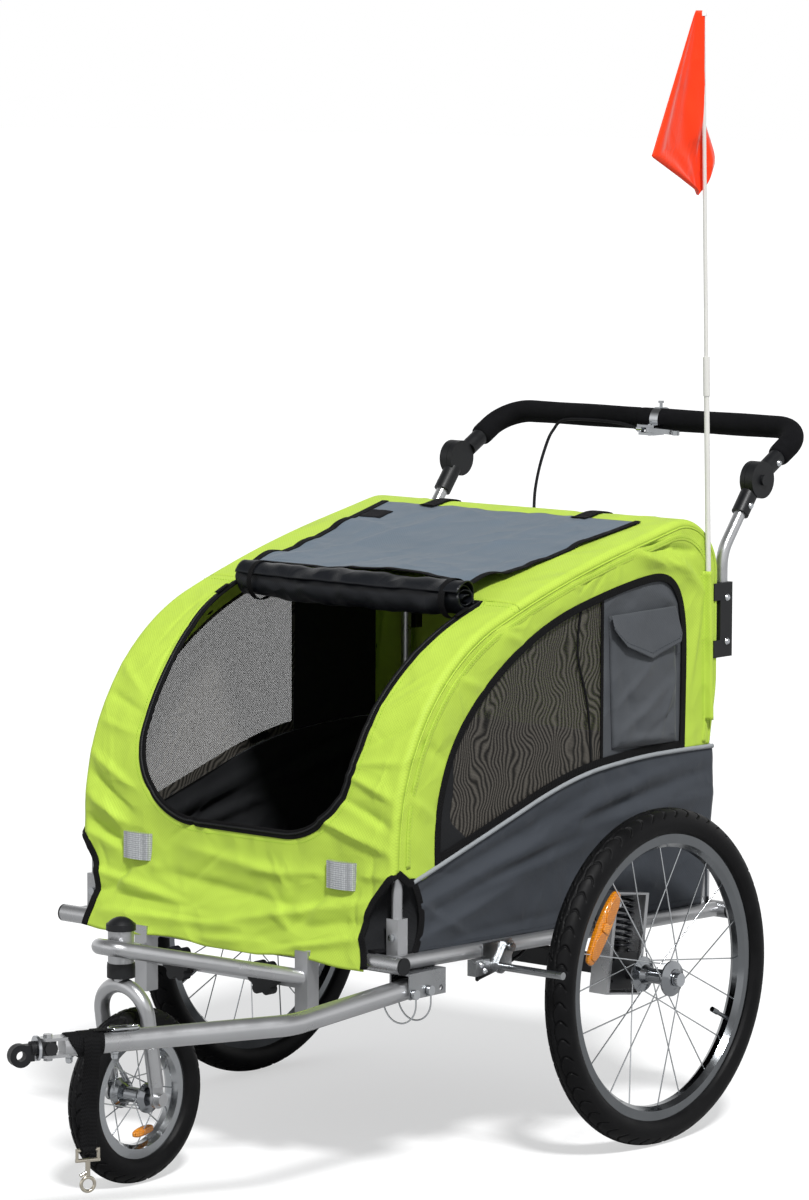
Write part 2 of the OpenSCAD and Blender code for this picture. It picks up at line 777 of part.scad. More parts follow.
// An amber bar clipped on the spokes, square to the radius
module wheel_reflector(at, angle, length, width, depth) {
    rotate([0, 0, angle]) translate([at - width / 2, -length / 2, depth[0]])
        cube([width, length, depth[1] - depth[0]]);
}

module left_hub() color(chrome) place() at_wheel() hub(axle_r + 0.06, flange_r, flange_at, hub_end);
module right_hub() color(chrome) place() mirror([1, 0, 0]) at_wheel()
    hub(axle_r + 0.06, flange_r, flange_at, hub_end);
module left_spokes() color(chrome) place() at_wheel()
    spokes(rear_spoke_n, 22, flange_at, rim_crown + 1.5, 58, 1);
module right_spokes() {
    color(chrome) place() mirror([1, 0, 0]) at_wheel()
        spokes(rear_spoke_n, 22, flange_at, rim_crown + 1.5, 58, 1);
}
module left_rim() color(chrome) place() at_wheel() rim(rim_edge, rim_floor, rim_crown, rim_half, 63);
module right_rim() {
    color(chrome) place() mirror([1, 0, 0]) at_wheel() rim(rim_edge, rim_floor, rim_crown, rim_half, 297);
}
module left_tyre() color(rubber) place() at_wheel()
    tyre(rear_tyre_d / 2, rear_tyre_w, rim_edge, rim_floor, rim_half);
module right_tyre() {
    color(rubber) place() mirror([1, 0, 0]) at_wheel()
        tyre(rear_tyre_d / 2, rear_tyre_w, rim_edge, rim_floor, rim_half);
}
module left_wheel_reflector() color(amber) place() at_wheel()
    wheel_reflector(158, rear_reflector_turn, 105, 23, [-2, 9]);
module right_wheel_reflector() color(amber) place() mirror([1, 0, 0]) at_wheel()
    wheel_reflector(158, rear_reflector_turn, 105, 23, [-2, 9]);

module front_hub() color(chrome) place() at_front()
    hub(front_axle_r + 0.06, 22, front_flange_at, fork_half - fork_tube / 2 - 1);
module front_spokes() color(chrome) place() at_front()
    spokes(front_spoke_n, 18, front_flange_at, front_rim_edge - 19, 62, 0.9);
module front_rim() {
    color(chrome) place() at_front()
        rim(front_rim_edge, front_rim_edge - 12, front_rim_edge - 20, rim_half, 215);
}
module front_wheel_reflector() color(amber) place() at_front() wheel_reflector(52, 8, 40, 14, [5, 13]);
module front_tyre() {
    color(rubber) place() at_front()
        tyre(front_tyre_d / 2, front_tyre_w, front_rim_edge, front_rim_edge - 12, rim_half);
}

// Fork: a bent tube over the wheel, a stem up into the head tube, an axle with nuts
module fork() {
    leg = fork_rise;
    color(steel) place() {
        translate([0, -head_reach, 280]) cylinder(r = stem_r, h = 92);
        translate([0, front_axle_y, front_axle_z]) rotate([fork_tilt, 0, 0]) {
            pipe([[fork_half, 0, 20], [fork_half, 0, leg], [-fork_half, 0, leg], [-fork_half, 0, 20]],
                fork_half - 0.01, fork_tube / 2, fork_tube / 2 - 2);
            both_sides() {
                x_rod(fork_half - 3, fork_half + 3, 0, 0, 13);
                translate([fork_half - 3, -10, 0]) cube([6, 20, 26]);
                x_rod(fork_half + 3, fork_half + 11, 0, 0, 9);
            }
            x_rod(-fork_half, fork_half, 0, 0, front_axle_r);
        }
    }
}

// Carrier of the front wheel: a hairpin tube round the head tube, two posts clamped to the cross tube
// and a flat strap between the posts
hairpin_bend = 27;
hairpin_apex = [0, -771, 350];
hairpin_foot = [post_x, -500, 286];
clamp_r = 16;
module carrier_frame() {
    far_foot = [-hairpin_foot.x, hairpin_foot.y, hairpin_foot.z];
    color(steel) place() difference() {
        union() {
            pipe([far_foot, hairpin_apex, hairpin_foot], hairpin_bend, 11, 0, 0.1);
            translate([0, -head_reach, head_z[0]]) cylinder(r = head_r, h = head_z[1] - head_z[0]);
            both_sides() {
                translate([post_x - post_w / 2, post_y, post_z[0]])
                    cube([post_w, post_w, post_z[1] - post_z[0]]);
                x_rod(post_x - post_w / 2 - 1, post_x + post_w / 2 + 1, -front_reach, front_tube_z,
                    clamp_r);
            }
            translate([-post_x, -497, strap_z - 10]) cube([2 * post_x, 5, 20]);
        }
        x_rod(-400, 400, -front_reach, front_tube_z, cross_d / 2 + 0.02);
        translate([0, -head_reach, 0]) cylinder(r = stem_r + 0.06, h = 400);
        for (s = [-1, 1]) translate([s * knob_x, -600, strap_z]) rotate([-90, 0, 0])
            cylinder(r = 4.06, h = 200);
    }
}

// A star knob with six lobes on its stud
module carrier_knob(x) {
    translate([x, -497.3, strap_z]) rotate([90, 0, 0]) {
        cylinder(r = knob_r - 6, h = 16);
        for (i = [0 : 5]) rotate([0, 0, 60 * i]) translate([knob_r - 8, 0, 0]) cylinder(r = 8, h = 16);
        translate([0, 0, -13]) cylinder(r = 4, h = 13);
    }
}

module left_carrier_knob() color(webbing) place() carrier_knob(knob_x);
module right_carrier_knob() color(webbing) place() carrier_knob(-knob_x);

// Tow channel under the left rail, open at the bottom and at both ends
module tow_channel() {
    size = [channel_x[1] - channel_x[0], channel_y[1] - channel_y[0], channel_z[1] - channel_z[0]];
    color(steel) place() difference() {
        translate([channel_x[0], channel_y[0], channel_z[0]]) cube(size);
        translate([channel_x[0] + channel_wall, channel_y[0] - 1, channel_z[0] - 1])
            cube([size.x - 2 * channel_wall, size.y + 2, size.z - channel_wall + 1]);
        for (p = pin_at) x_rod(channel_x[0] - 9, channel_x[1] + 9, p[0], p[1], pin_r + 0.06);
        x_rod(channel_x[0] - 9, channel_x[1] + 9, spare_hole_y, pin_at[1][1], pin_r + 0.06);
        rail_body(rail_d / 2);
    }
}

// Frame at the end of the arm: z onwards along the arm, x up
module at_tip() aim(arm_tip, arm_dir, [0, 0, 1]) children();

// The arm ends in two flat ears, one over the other, with an upright bolt between them
ear_r = 12;
ear_x = [9.5, 13.5];
module tow_arm() {
    color(steel) place() difference() {
        union() {
            pipe([arm_back, arm_bend, arm_tip - 30 * arm_dir], 90, arm_d / 2, arm_d / 2 - 2, 0.1);
            at_tip() {
                translate([0, 0, -31]) cylinder(r = arm_d / 2 + 0.1, h = 31);
                for (s = [0, 1]) mirror([s, 0, 0]) {
                    translate([ear_x[0], -ear_r, -6]) cube([ear_x[1] - ear_x[0], 2 * ear_r, yoke_at + 6]);
                    translate([ear_x[0], 0, yoke_at]) rotate([0, 90, 0])
                        cylinder(r = ear_r, h = ear_x[1] - ear_x[0]);
                    translate([ear_x[1], 0, yoke_at]) rotate([0, 90, 0])
                        cylinder(r = 6.5, h = 4.5, $fn = 6);
                }
                translate([-ear_x[1], 0, yoke_at]) rotate([0, 90, 0]) cylinder(r = 4, h = 2 * ear_x[1]);
            }
        }
        for (p = pin_at) x_rod(channel_x[0] - 9, channel_x[1] + 9, p[0], p[1], pin_r + 0.06);
    }
}

// A pull pin through the channel and the arm, with a wire bail hanging under it
module tow_pin(i) {
    y = pin_at[i][0];
    z = pin_at[i][1];
    head = channel_x[1] + 1;
    bail = 30;
    drop = channel_z[0] - 7;
    x_rod(channel_x[0] - 6, head, y, z, pin_r);
    x_rod(head, head + 5, y, z, 7);
    translate([head + 3 - bail, y, drop]) rotate([90, 0, 0]) rotate([0, 0, 180])
        rotate_extrude(angle = 180) translate([bail, 0]) circle(1.2);
    bar([head + 3, y, drop], [head + 3, y, z], 1.2);
}

module front_tow_pin() color(chrome) place() tow_pin(0);
module rear_tow_pin() color(chrome) place() tow_pin(1);

// Swivel of the hitch: a yoke on the upright bolt, a flange, and the shaft bore of the eye
flange_z = [34, 38];
module hitch_swivel() {
    yoke = 9.2;
    color(webbing) place() at_tip() difference() {
        union() {
            translate([-yoke, 0, yoke_at]) rotate([0, 90, 0]) cylinder(r = 11.5, h = 2 * yoke);
            translate([-yoke, -11.5, yoke_at]) cube([2 * yoke, 23, flange_z[0] - yoke_at]);
            translate([0, 0, flange_z[0]]) cylinder(r = 17, h = flange_z[1] - flange_z[0]);
            translate([0, -15, yoke_at]) rotate([-90, 0, 0]) cylinder(r = 9, h = 30);
        }
        translate([-20, 0, yoke_at]) rotate([0, 90, 0]) cylinder(r = 4.06, h = 40);
        translate([0, 0, yoke_at + 7]) cylinder(r = 5.06, h = 40);
    }
}

// The eye: a shaft in the swivel, a neck, and a ring whose bore takes the bicycle's hitch pin
module hitch_eye() {
    color(rubber) place() at_tip() difference() {
        union() {
            translate([0, 0, yoke_at + 8]) cylinder(r = 5, h = 14);
            translate([0, 0, flange_z[1] + 0.3]) cylinder(r = 10, h = 7);
            translate([-eye_drop - 8, -7, flange_z[1] + 3])
                cube([16 + eye_drop - 2, 14, eye_at - flange_z[1] - 3]);
            translate([-eye_drop, 7, eye_at]) rotate([90, 0, 0]) cylinder(r = eye_r, h = 14);
        }
        translate([-eye_drop, 20, eye_at]) rotate([90, 0, 0]) cylinder(r = eye_bore / 2, h = 40);
    }
}

// Webbing wrapped round the arm, hanging to a loop of metal
strap_top = arm_bend + strap_at * arm_dir;
module safety_strap() {
    level = unit([arm_dir.x, arm_dir.y, 0]);
    color(webbing) place() difference() {
        union() {
            aim(strap_top - strap_w / 2 * arm_dir, arm_dir, [0, 0, 1]) linear_extrude(strap_w)
                ring(arm_d / 2 + 3, arm_d / 2 + 0.15);
            aim([strap_top.x, strap_top.y, strap_low], [0, 0, 1], level)
                translate([-strap_w / 2, -2, 0])
                    cube([strap_w, 4, strap_top.z - arm_d / 2 - 2 - strap_low]);
            aim([strap_top.x, strap_top.y, strap_low], level, [0, 0, 1])
                translate([0, 0, -strap_w / 2 + 4]) cylinder(r = 5.5, h = strap_w - 8);
            aim(arm_bend + link_at * arm_dir, arm_dir, [0, 0, 1]) difference() {
                translate([arm_d / 2 - 4, -9, -8]) cube([8, 18, strap_at - link_at]);
                translate([0, 0, -60]) cylinder(r = arm_d / 2 + 0.02, h = 200);
            }
        }
        aim([strap_top.x, strap_top.y, strap_low], level, [0, 0, 1]) translate([0, 0, -30])
            cylinder(r = 2.56, h = 60);
    }
}

// An oval link of wire through the tail of the webbing, lying on the arm
module strap_link() {
    half = [7, 14];
    color(chrome) place() aim(arm_bend + (link_at - 16) * arm_dir, arm_dir, [0, 0, 1])
        translate([arm_d / 2 + 2.4, 0, 0]) rotate([0, 90, 0]) {
            for (s = [-1, 1]) {
                translate([-half[1], s * half[0], 0]) rotate([0, 90, 0])
                    cylinder(r = 2.2, h = 2 * half[1]);
                translate([s * half[1], 0, 0]) rotate([0, 0, -s * 90]) rotate_extrude(angle = 180)
                    translate([half[0], 0]) circle(2.2);
            }
        }
}

// Snap hook: a square loop through the strap, a swivel neck and a hook with a bolt
module snap_hook() {
    level = unit([arm_dir.x, arm_dir.y, 0]);
    half = strap_w / 2 + 2.8;
    color(chrome) place() aim([strap_top.x, strap_top.y, strap_low], [0, 0, 1], level) {
        bar([-half, 0, 0], [half, 0, 0], 2.5);
        for (s = [-1, 1]) bar([s * half, 0, 2], [s * half, 0, -14], 2.2);
        bar([-half - 2, 0, -14], [half + 2, 0, -14], 2.6);
        bar([0, 0, -12], [0, 0, -36], 3.4);
        translate([0, 0, -47]) rotate([90, 0, 0]) rotate_extrude() translate([9.5, 0]) circle(2.4);
        bar([1, 0, -30], [11, 0, -35], 2.4);
    }
}

// Sleeve for a handle tube, screwed to the hoop, and the lower half of the tilt knuckle
module handle_mount() {
    difference() {
        translate([handle_x - 12.5, sleeve_y[0], sleeve_z[0]])
            cube([25, sleeve_y[1] - sleeve_y[0], sleeve_z[1] - sleeve_z[0]]);
        translate([handle_x, stem_y, sleeve_z[0] + 5]) cylinder(r = handle_tube_d / 2 + 0.02, h = 200);
        translate([handle_x - 20, sleeve_y[0] - 1, sleeve_z[0] + 26])
            cube([40, 16, sleeve_z[1] - sleeve_z[0] - 52]);
    }
    difference() {
        union() {
            x_rod(handle_x - knuckle_in, handle_x - 0.3, tilt_y, tilt_z, knuckle_r);
            bar(tilt_left - sock_from * stem_dir, tilt_left - sock_len * stem_dir, sock_r);
        }
        x_rod(handle_x - 0.3, handle_x + 40, tilt_y, tilt_z, knuckle_r + 0.4);
        bar(tilt_left - 33 * stem_dir, tilt_left - 90 * stem_dir, handle_tube_d / 2 + 0.02);
    }
    x_rod(handle_x - knuckle_in + 0.5, handle_x + pivot_end, tilt_y, tilt_z, 5);
}

module handle_mounts() color(webbing) place() both_sides() handle_mount();

module lower_handle_tubes() {
    color(steel) place() both_sides()
        pipe([[handle_x, stem_y, sleeve_z[0] + 6], [handle_x, stem_y, stem_turn_z],
            tilt_left - 33.5 * stem_dir],
            60, handle_tube_d / 2, handle_tube_d / 2 - tube_wall, bend_swell);
}

module upper_knuckle() {
    difference() {
        union() {
            x_rod(handle_x + 0.3, handle_x + knuckle_t + 0.5, tilt_y, tilt_z, knuckle_r);
            bar(tilt_left + sock_from * handle_dir, tilt_left + sock_len * handle_dir, sock_r);
        }
        x_rod(handle_x - 40, handle_x + 0.3, tilt_y, tilt_z, knuckle_r + 0.4);
        x_rod(handle_x - 40, handle_x + pivot_end + 0.5, tilt_y, tilt_z, 5.06);
        x_rod(handle_x + pivot_end + 1.7, handle_x + 40, tilt_y, tilt_z, 8.06);
        bar(tilt_left + 33 * handle_dir, tilt_left + 90 * handle_dir, handle_tube_d / 2 + 0.02);
    }
}

module upper_knuckles() color(webbing) place() both_sides() upper_knuckle();

function handle_path(start) = [
    tilt_left + start * handle_dir, tilt_left + grip_reach * handle_dir,
    tilt_left + grip_reach * handle_dir - [2 * handle_x, 0, 0],
        tilt_left + start * handle_dir - [2 * handle_x, 0, 0]];

module handlebar() {
    color(steel) place()
        pipe(handle_path(33.5), handle_bend, handle_tube_d / 2, handle_tube_d / 2 - tube_wall,
            bend_swell);
}

module handle_grip() {
    color(rubber) place()
        pipe(handle_path(sock_len + 0.2), handle_bend, grip_d / 2, handle_tube_d / 2 + 0.12, bend_swell,
            3 * bend_swell);
}

module tilt_button() {
    x_rod(handle_x + knuckle_t - 3.5, handle_x + knuckle_t + 5, tilt_y, tilt_z, 8);
}

module left_tilt_button() color(webbing) place() tilt_button();
module right_tilt_button() color(webbing) place() mirror([1, 0, 0]) tilt_button();

// Brake lever on the grip: a clamp round the foam and a lever under its front
lever_pivot = [22, grip_mid.y - 35, grip_mid.z - 14];
module brake_clamp() {
    p = lever_pivot;
    color(chrome) place() difference() {
        union() {
            x_rod(9, 25, grip_mid.y, grip_mid.z, grip_d / 2 + 2.2);
            translate([6, p.y - 8, p.z - 8]) cube([30, 26, 4]);
            translate([6, p.y - 8, p.z + 4]) cube([30, 26, 4]);
            translate([6, p.y + 14, p.z - 8]) cube([22, 10, 16]);
            translate([17, grip_mid.y, grip_mid.z + 14]) cylinder(r = 2.5, h = 13);
            translate([17, grip_mid.y, grip_mid.z + 26]) cylinder(r = 4.5, h = 3.5);
            x_rod(-2, 10, p.y, p.z + 1, 4.5);
            translate([0, p.y - 4, p.z - 4]) cube([8, 8, 12]);
        }
        x_rod(-40, 80, grip_mid.y, grip_mid.z, grip_d / 2 + 0.02);
        translate([p.x, p.y, p.z - 20]) cylinder(r = 3.06, h = 40);
        translate([9, p.y - 20, p.z - 4]) cube([60, 33, 8]);
    }
}

// The lever leans away from the grip at rest, and its end curls away from it
lever_rest = -14;
lever_arm = 50;
lever_w = 8;
lever_t = 7.4;
lever_curl = 24;
module brake_lever() {
    side = lever_w / 2 - 1;
    curl_r = 60;
    color(chrome) place() translate(lever_pivot) rotate([0, 0, lever_rest]) {
        translate([0, 0, -9]) cylinder(r = 3, h = 18);
        translate([0, 0, -lever_t / 2]) {
            cylinder(r = 6.5, h = lever_t);
            translate([0, side - lever_w, 0]) cube([lever_arm, lever_w, lever_t]);
            translate([lever_arm, side - curl_r, 0]) rotate([0, 0, 90 - lever_curl]) {
                rotate_extrude(angle = lever_curl) translate([curl_r - lever_w, 0])
                    square([lever_w, lever_t]);
                translate([curl_r - lever_w / 2, 0, 0]) cylinder(r = 5.5, h = lever_t);
            }
        }
    }
}

// A smooth run through hand-picked points, and a tube swept along it
cable_steps = 4;
cable_sides = 8;
cable_hint = unit([0.55, 0.2, -0.81]);
function smooth(p, i, t) = let (
        a = p[max(i - 1, 0)],
        b = p[i],
        c = p[i + 1],
        d = p[min(i + 2, len(p) - 1)])
    0.5 * (2 * b + (c - a) * t + (2 * a - 5 * b + 4 * c - d) * t * t + (3 * b - a - 3 * c + d) * t * t * t);
function run_points(p, steps) = concat(
    [for (i = [0 : len(p) - 2], k = [0 : steps - 1]) smooth(p, i, k / steps)], [p[len(p) - 1]]);

module swept_tube(run, r, sides, hint) {
    last = len(run) - 1;
    points = [for (i = [0 : last]) each let (
            t = unit(run[min(i + 1, last)] - run[max(i - 1, 0)]),
            x = unit(cross(hint, t)),
            y = cross(t, x))
        [for (k = [0 : sides - 1]) run[i] + r * (cos(360 * k / sides) * x + sin(360 * k / sides) * y)]];
    skin = [for (i = [0 : last - 1], k = [0 : sides - 1])
        each let (a = sides * i + k, b = sides * i + (k + 1) % sides)
        [[a, a + sides, b], [b, a + sides, b + sides]]];
    start = [for (k = [1 : sides - 2]) [0, k, k + 1]];
    stop = [for (k = [1 : sides - 2]) [sides * last, sides * last + k + 1, sides * last + k]];
    polyhedron(points, concat(skin, start, stop), convexity = 10);
}

module brake_cable() {
    color(rubber) place()
        swept_tube(run_points(cable_route, cable_steps), cable_r, cable_sides, cable_hint);
}

// Bracket of the brake bar on the left rail, with the cable stop
module brake_bracket() {
    x = rail_x + rail_d / 2;
    color(steel) place() {
        translate([x, -304, 283]) cube([3, 64, 44]);
        x_rod(x + 3, x + 12, bar_pivot[0], bar_pivot[1], 4);
        x_rod(x + 11, x + 14, bar_pivot[0], bar_pivot[1], 6);
        translate([x, -335, 285]) cube([15, 32, 23]);
    }
}

// Brake bar: a plate on the pivot and a rod that swings back against the tyre
module brake_bar() {
    x = rail_x + rail_d / 2 + 3.3;
    color(steel) place() difference() {
        union() {
            x_rod(x, x + 5, bar_pivot[0], bar_pivot[1], 10);
            x_rod(x, x + 5, bar_rod[0], bar_rod[1], 10);
            along_x(x, x + 5) polygon([
                bar_pivot + [-8, 6], bar_pivot + [8, -6], bar_rod + [8, -6], bar_rod + [-8, 6]]);
            x_rod(x + 4, bar_end, bar_rod[0], bar_rod[1], 5.5);
        }
        x_rod(x - 5, x + 20, bar_pivot[0], bar_pivot[1], 4.06);
    }
}

// Two-piece pole with a ferrule
module flag_pole() {
    color("white") place() at_pole() {
        cylinder(r = pole_r, h = 485);
        translate([0, 0, 478]) cylinder(r = 5, h = 58);
        translate([0, 0, 530]) cylinder(r = 3, h = pole_len - 530);
    }
}

// A limp pennant behind the pole: it widens downwards in folds to two corners and a low tip at the pole
flag_rows = 14;
flag_cols = 12;
flag_left = 118;
flag_right = 40;
flag_corner_drop = 213;
flag_tip_drop = 271;
flag_fold = 9;
function flag_point(u, v, side) = let (
        y = v * (flag_right - (flag_left + flag_right) * u) - 8 * u,
        reach = y < 0 ? y / flag_left : -y / flag_right,
        drop = flag_tip_drop + (flag_tip_drop - flag_corner_drop) * reach)
    [side - 4 - flag_fold * v * (1 - cos(720 * u)), y, -v * drop];

module flag() {
    n = (flag_cols + 1) * (flag_rows + 1);
    points = [for (side = [-0.5, 0.5], j = [0 : flag_rows], i = [0 : flag_cols])
        flag_point(i / flag_cols, 0.02 + 0.98 * j / flag_rows, side)];
    function at(i, j) = j * (flag_cols + 1) + i;
    grid = [for (j = [0 : flag_rows - 1], i = [0 : flag_cols - 1]) [at(i, j), at(i + 1, j),
        at(i + 1, j + 1), at(i, j + 1)]];
    edge = concat(
        [for (i = [0 : flag_cols]) at(i, 0)], [for (j = [1 : flag_rows]) at(flag_cols, j)],
        [for (i = [flag_cols - 1 : -1 : 0]) at(i, flag_rows)],
            [for (j = [flag_rows - 1 : -1 : 1]) at(0, j)]);
    m = len(edge);
    faces = concat(
        [for (q = grid) each [[q[0], q[1], q[2]], [q[0], q[2], q[3]]]],
        [for (q = grid) each [[n + q[0], n + q[2], n + q[1]], [n + q[0], n + q[3], n + q[2]]]],
        [for (k = [0 : m - 1]) let (a = edge[k], b = edge[(k + 1) % m])
            each [[a, n + b, b], [a, n + a, n + b]]]);
    color(pennant) place() at_pole() translate([0, 0, pole_len]) polyhedron(points, faces, convexity = 6);
}

cross_tubes();
side_rails();
tube_caps();
socket_pins();
cabin_frame();
floor_panel();
front_cover();
roof_cover();
side_covers();
top_flap();
rolled_flap();
front_reflectors();
suspension_brackets();
axle_beam();
left_slider();
right_slider();
left_spring();
right_spring();
left_hub();
left_spokes();
left_rim();
left_tyre();
left_wheel_reflector();
right_hub();
right_spokes();
right_rim();
right_tyre();
right_wheel_reflector();
tow_channel();
tow_arm();
front_tow_pin();
rear_tow_pin();
hitch_swivel();
hitch_eye();
safety_strap();
strap_link();
snap_hook();
carrier_frame();
left_carrier_knob();
right_carrier_knob();
fork();
front_hub();
front_spokes();
front_rim();
front_tyre();
front_wheel_reflector();
handle_mounts();
lower_handle_tubes();
handlebar();
upper_knuckles();
handle_grip();
left_tilt_button();
right_tilt_button();
brake_clamp();
brake_lever();
brake_cable();
brake_bracket();
brake_bar();
flag_pole();
flag();
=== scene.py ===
"""Cloth, webbing, tyres and surface finishes for a bicycle trailer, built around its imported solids.

Shapes are worked out in millimetres about the rear axle (x to the trailer's left, y backwards, z up from
the ground) and put into the frame, in metres, by one function.
"""

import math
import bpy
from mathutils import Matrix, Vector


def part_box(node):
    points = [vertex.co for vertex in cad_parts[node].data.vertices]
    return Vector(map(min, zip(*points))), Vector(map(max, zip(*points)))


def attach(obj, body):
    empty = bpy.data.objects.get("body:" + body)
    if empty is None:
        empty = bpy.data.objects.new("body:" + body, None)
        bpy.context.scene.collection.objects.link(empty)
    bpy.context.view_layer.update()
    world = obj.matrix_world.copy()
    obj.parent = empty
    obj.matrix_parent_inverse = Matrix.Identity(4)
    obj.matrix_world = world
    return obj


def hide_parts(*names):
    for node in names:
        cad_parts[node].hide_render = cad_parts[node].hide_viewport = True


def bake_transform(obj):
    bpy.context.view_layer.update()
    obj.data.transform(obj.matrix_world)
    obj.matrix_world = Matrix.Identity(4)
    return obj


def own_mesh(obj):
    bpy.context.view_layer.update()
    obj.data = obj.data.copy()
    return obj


bl_info = {
    "name": "Bicycle trailer looks",
    "version": (1, 0, 0),
    "blender": (4, 5, 0),
    "location": "3D View > Sidebar > Trailer",
    "description": "Sewn cabin, webbing, treads, cable and finishes of a bicycle trailer",
    "category": "Object",
}

import bmesh
import bpy
import numpy as np
from mathutils import Matrix, Vector

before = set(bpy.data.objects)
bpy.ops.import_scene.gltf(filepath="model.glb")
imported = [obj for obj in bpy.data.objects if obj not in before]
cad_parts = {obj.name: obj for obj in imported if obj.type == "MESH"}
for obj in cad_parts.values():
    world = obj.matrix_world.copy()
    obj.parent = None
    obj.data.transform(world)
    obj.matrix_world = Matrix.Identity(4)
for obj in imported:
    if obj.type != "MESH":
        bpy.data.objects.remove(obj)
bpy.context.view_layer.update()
HUB_LOW, HUB_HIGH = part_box("left_hub")
AXLE_Y = (HUB_LOW.y + HUB_HIGH.y) * 500
AXLE_Z = (HUB_LOW.z + HUB_HIGH.z) * 500
WHEEL_X = (HUB_LOW.x + HUB_HIGH.x) * 500
FRONT_LOW, FRONT_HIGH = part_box("front_hub")
FRONT_AXLE = (0, (FRONT_LOW.y + FRONT_HIGH.y) * 500 - AXLE_Y, (FRONT_LOW.z + FRONT_HIGH.z) * 500)
TAU = 2 * math.pi
SIDES = ((1, "left"), (-1, "right"))

# Camera fitted to the photograph: degrees, mm, and pixels of the photograph
PHOTO_W, PHOTO_H = 809, 1200
YAW_PITCH_ROLL = (40.578, 6.388, 0.174)
CAMERA_AT = (4773.974, -5679.974, 1598.963)
FOCAL = 4992.047
PRINCIPAL = (404.265, 599.987)

# Stage, in metres; a light is its strength, its spread in degrees and the direction that it stands in
FLOOR_REACH, FLOOR_DROP = 60, 0.0005
SUN = (3.6, 9, (0.62, -0.42, 0.9))
FILL = (0.2, 50, (-0.2, -1.0, 0.35))

# Cabin, in mm: its outline in (y, z) is a curved front, two arcs, a round corner and an upright back
HALF = 303
EDGE_R = 11
EDGE_FADE = 25
FRONT_Y = -478
REAR_Y = 250
BOW = ((-144, 470), 334)
ROOF = ((494.21, -1283.46), 2200)
ROOF_DIR = 110
CORNER_R = 82
SPLIT_Y = -208
STRIPE_REAR_Z = 551
REAR_SWELL = 16
STRIPE = [(-440, 431), (-395, 444), (-271, 482), (-86, 540), (65, 553), (170, 553), (249, 551)]
WINDOW = [
    (-387, 447), (-388, 480), (-384, 536), (-353, 615), (-291, 681), (-207, 737), (-118, 775), (-17, 798),
    (70, 813), (128, 817), (161, 797), (176, 750), (178, 690), (175, 553)]
NOTCH_SIDE = [(-472, 446), (-446, 428), (-428, 403), (-423, 376), (-427, 350), (-437, 326)]
NOTCH_FRONT = [(303, 446), (286, 428), (264, 398), (257, 372), (262, 345), (270, 322), (271, 312)]
REFLECTORS = ((-187, 436), (207, 436))
REFLECTOR_R = 22
ARCH_FOOT_Z = 446
MESH_Y, PANEL_SPLIT_Y, PANEL_Y = (-388, -14), -15, (-16, 176)
POCKET_Z = (570, 768)
SLEEVE_Z = (592, 816)
ARCH_SWELL = 2.2
ARCH_SEAM = 0.8
HEM_Z, HEM_Y, HEM_OVER_RAIL = 308, (-437, 226), 10.2
CLOTH_T = 1.2
THIN_CLOTH_T = 1.0
ZIP_PITCH = 3.2
DOOR_TAPE, NOTCH_TAPE, HEM_TAPE, SEAM_TAPE, MESH_TAPE = 13, 12, 11, 6, 4
RAIL_FRONT, RAIL_REAR = (-489, 321), (264, 302)

# Brake cable, as in the part's source; it bends with the handle between these two points
CABLE_ROUTE = [
    (-3, 455, 1000), (-50, 464, 1006), (-120, 469, 1007), (-165, 470, 1003), (-178, 464, 988),
    (-178, 450, 972), (-157, 405, 937), (-122, 350, 903), (-84, 300, 870), (-62, 268, 820),
    (-55, 258, 740), (-55, 256, 600), (-55, 257, 450), (-54, 264, 380), (-51, 281, 330),
    (-48, 282, 300), (-42, 262, 283), (-10, 190, 285), (90, 60, 289), (190, -40, 290),
    (265, -150, 287), (292, -240, 279), (304, -292, 275), (317, -315, 277), (323, -320, 287)]

# Tow arm, handle, pole and slides, as in the part's source
ARM_BEND = np.array((311.0, -700, 268))
ARM_DIR = np.array((-0.423, -0.906, -0.005))
ARM_DIR = ARM_DIR / np.linalg.norm(ARM_DIR)
ARM_R = 15
FLANGE_AT = 368
AXLE_SHOWS = 0.3615
STRAP_AT = 298
STRAP_LOW = 122
STRAP_W = 25
LINK_R = 3.9
TILT = np.array((293.0, 366, 943))
HANDLE_DIR = np.array((0, math.cos(math.radians(29.5)), math.sin(math.radians(29.5))))
STEM_DIR = np.array((0, 82.5, 105.0)) / math.hypot(82.5, 105)
GRIP_START, GRIP_REACH, GRIP_JOINT = 62.2, 142, 330
GRIP_R = 17.5
GRIP_BEND_R = 50
POLE = np.array((309.0, 236, 600))
POLE_LEAN = math.radians(1.8)
RAKE = math.radians(8)
SLIDE_X = 335.5
COIL_R = 14
WIRE_R = 2
COIL_TURNS = 9
COIL_FOOT = 31.5
COIL_RISE = 79.4
FLAG_TIP_Z, FERRULE = 1646, 9
FLAG_CUT, FLAG_AREA = (0.19, 0.3), 0.056

# Wheels, in mm: a tyre is its radius, its bead's radius, its lugs and its steps; a reflector is its distance
# from the axle, its angle in degrees, its length, its width and its two depths
REAR_TYRE, FRONT_TYRE = (247, 211, 56, 1400), (125, 90, 34, 760)
REAR_REFLECTOR, FRONT_REFLECTOR = (158, 235.8, 118, 30, (-2, 9)), (52, 8, 40, 14, (5, 13))
TYRE_SECTION_R = 22
BEAD_HALF = 10.6
LUG_SWEEP = 11
RING_AT, RING_WAVE = 4.2, 0.9

# Places round a tyre's section, in radians from its crown: lugs from and to, the edge of the tread, the rib
# of the side wall, and a mark for the bead
LUG_FROM, LUG_TO, TREAD_EDGE, RIB, BEAD = 0.17, 1.12, 1.2, 1.45, 3.0

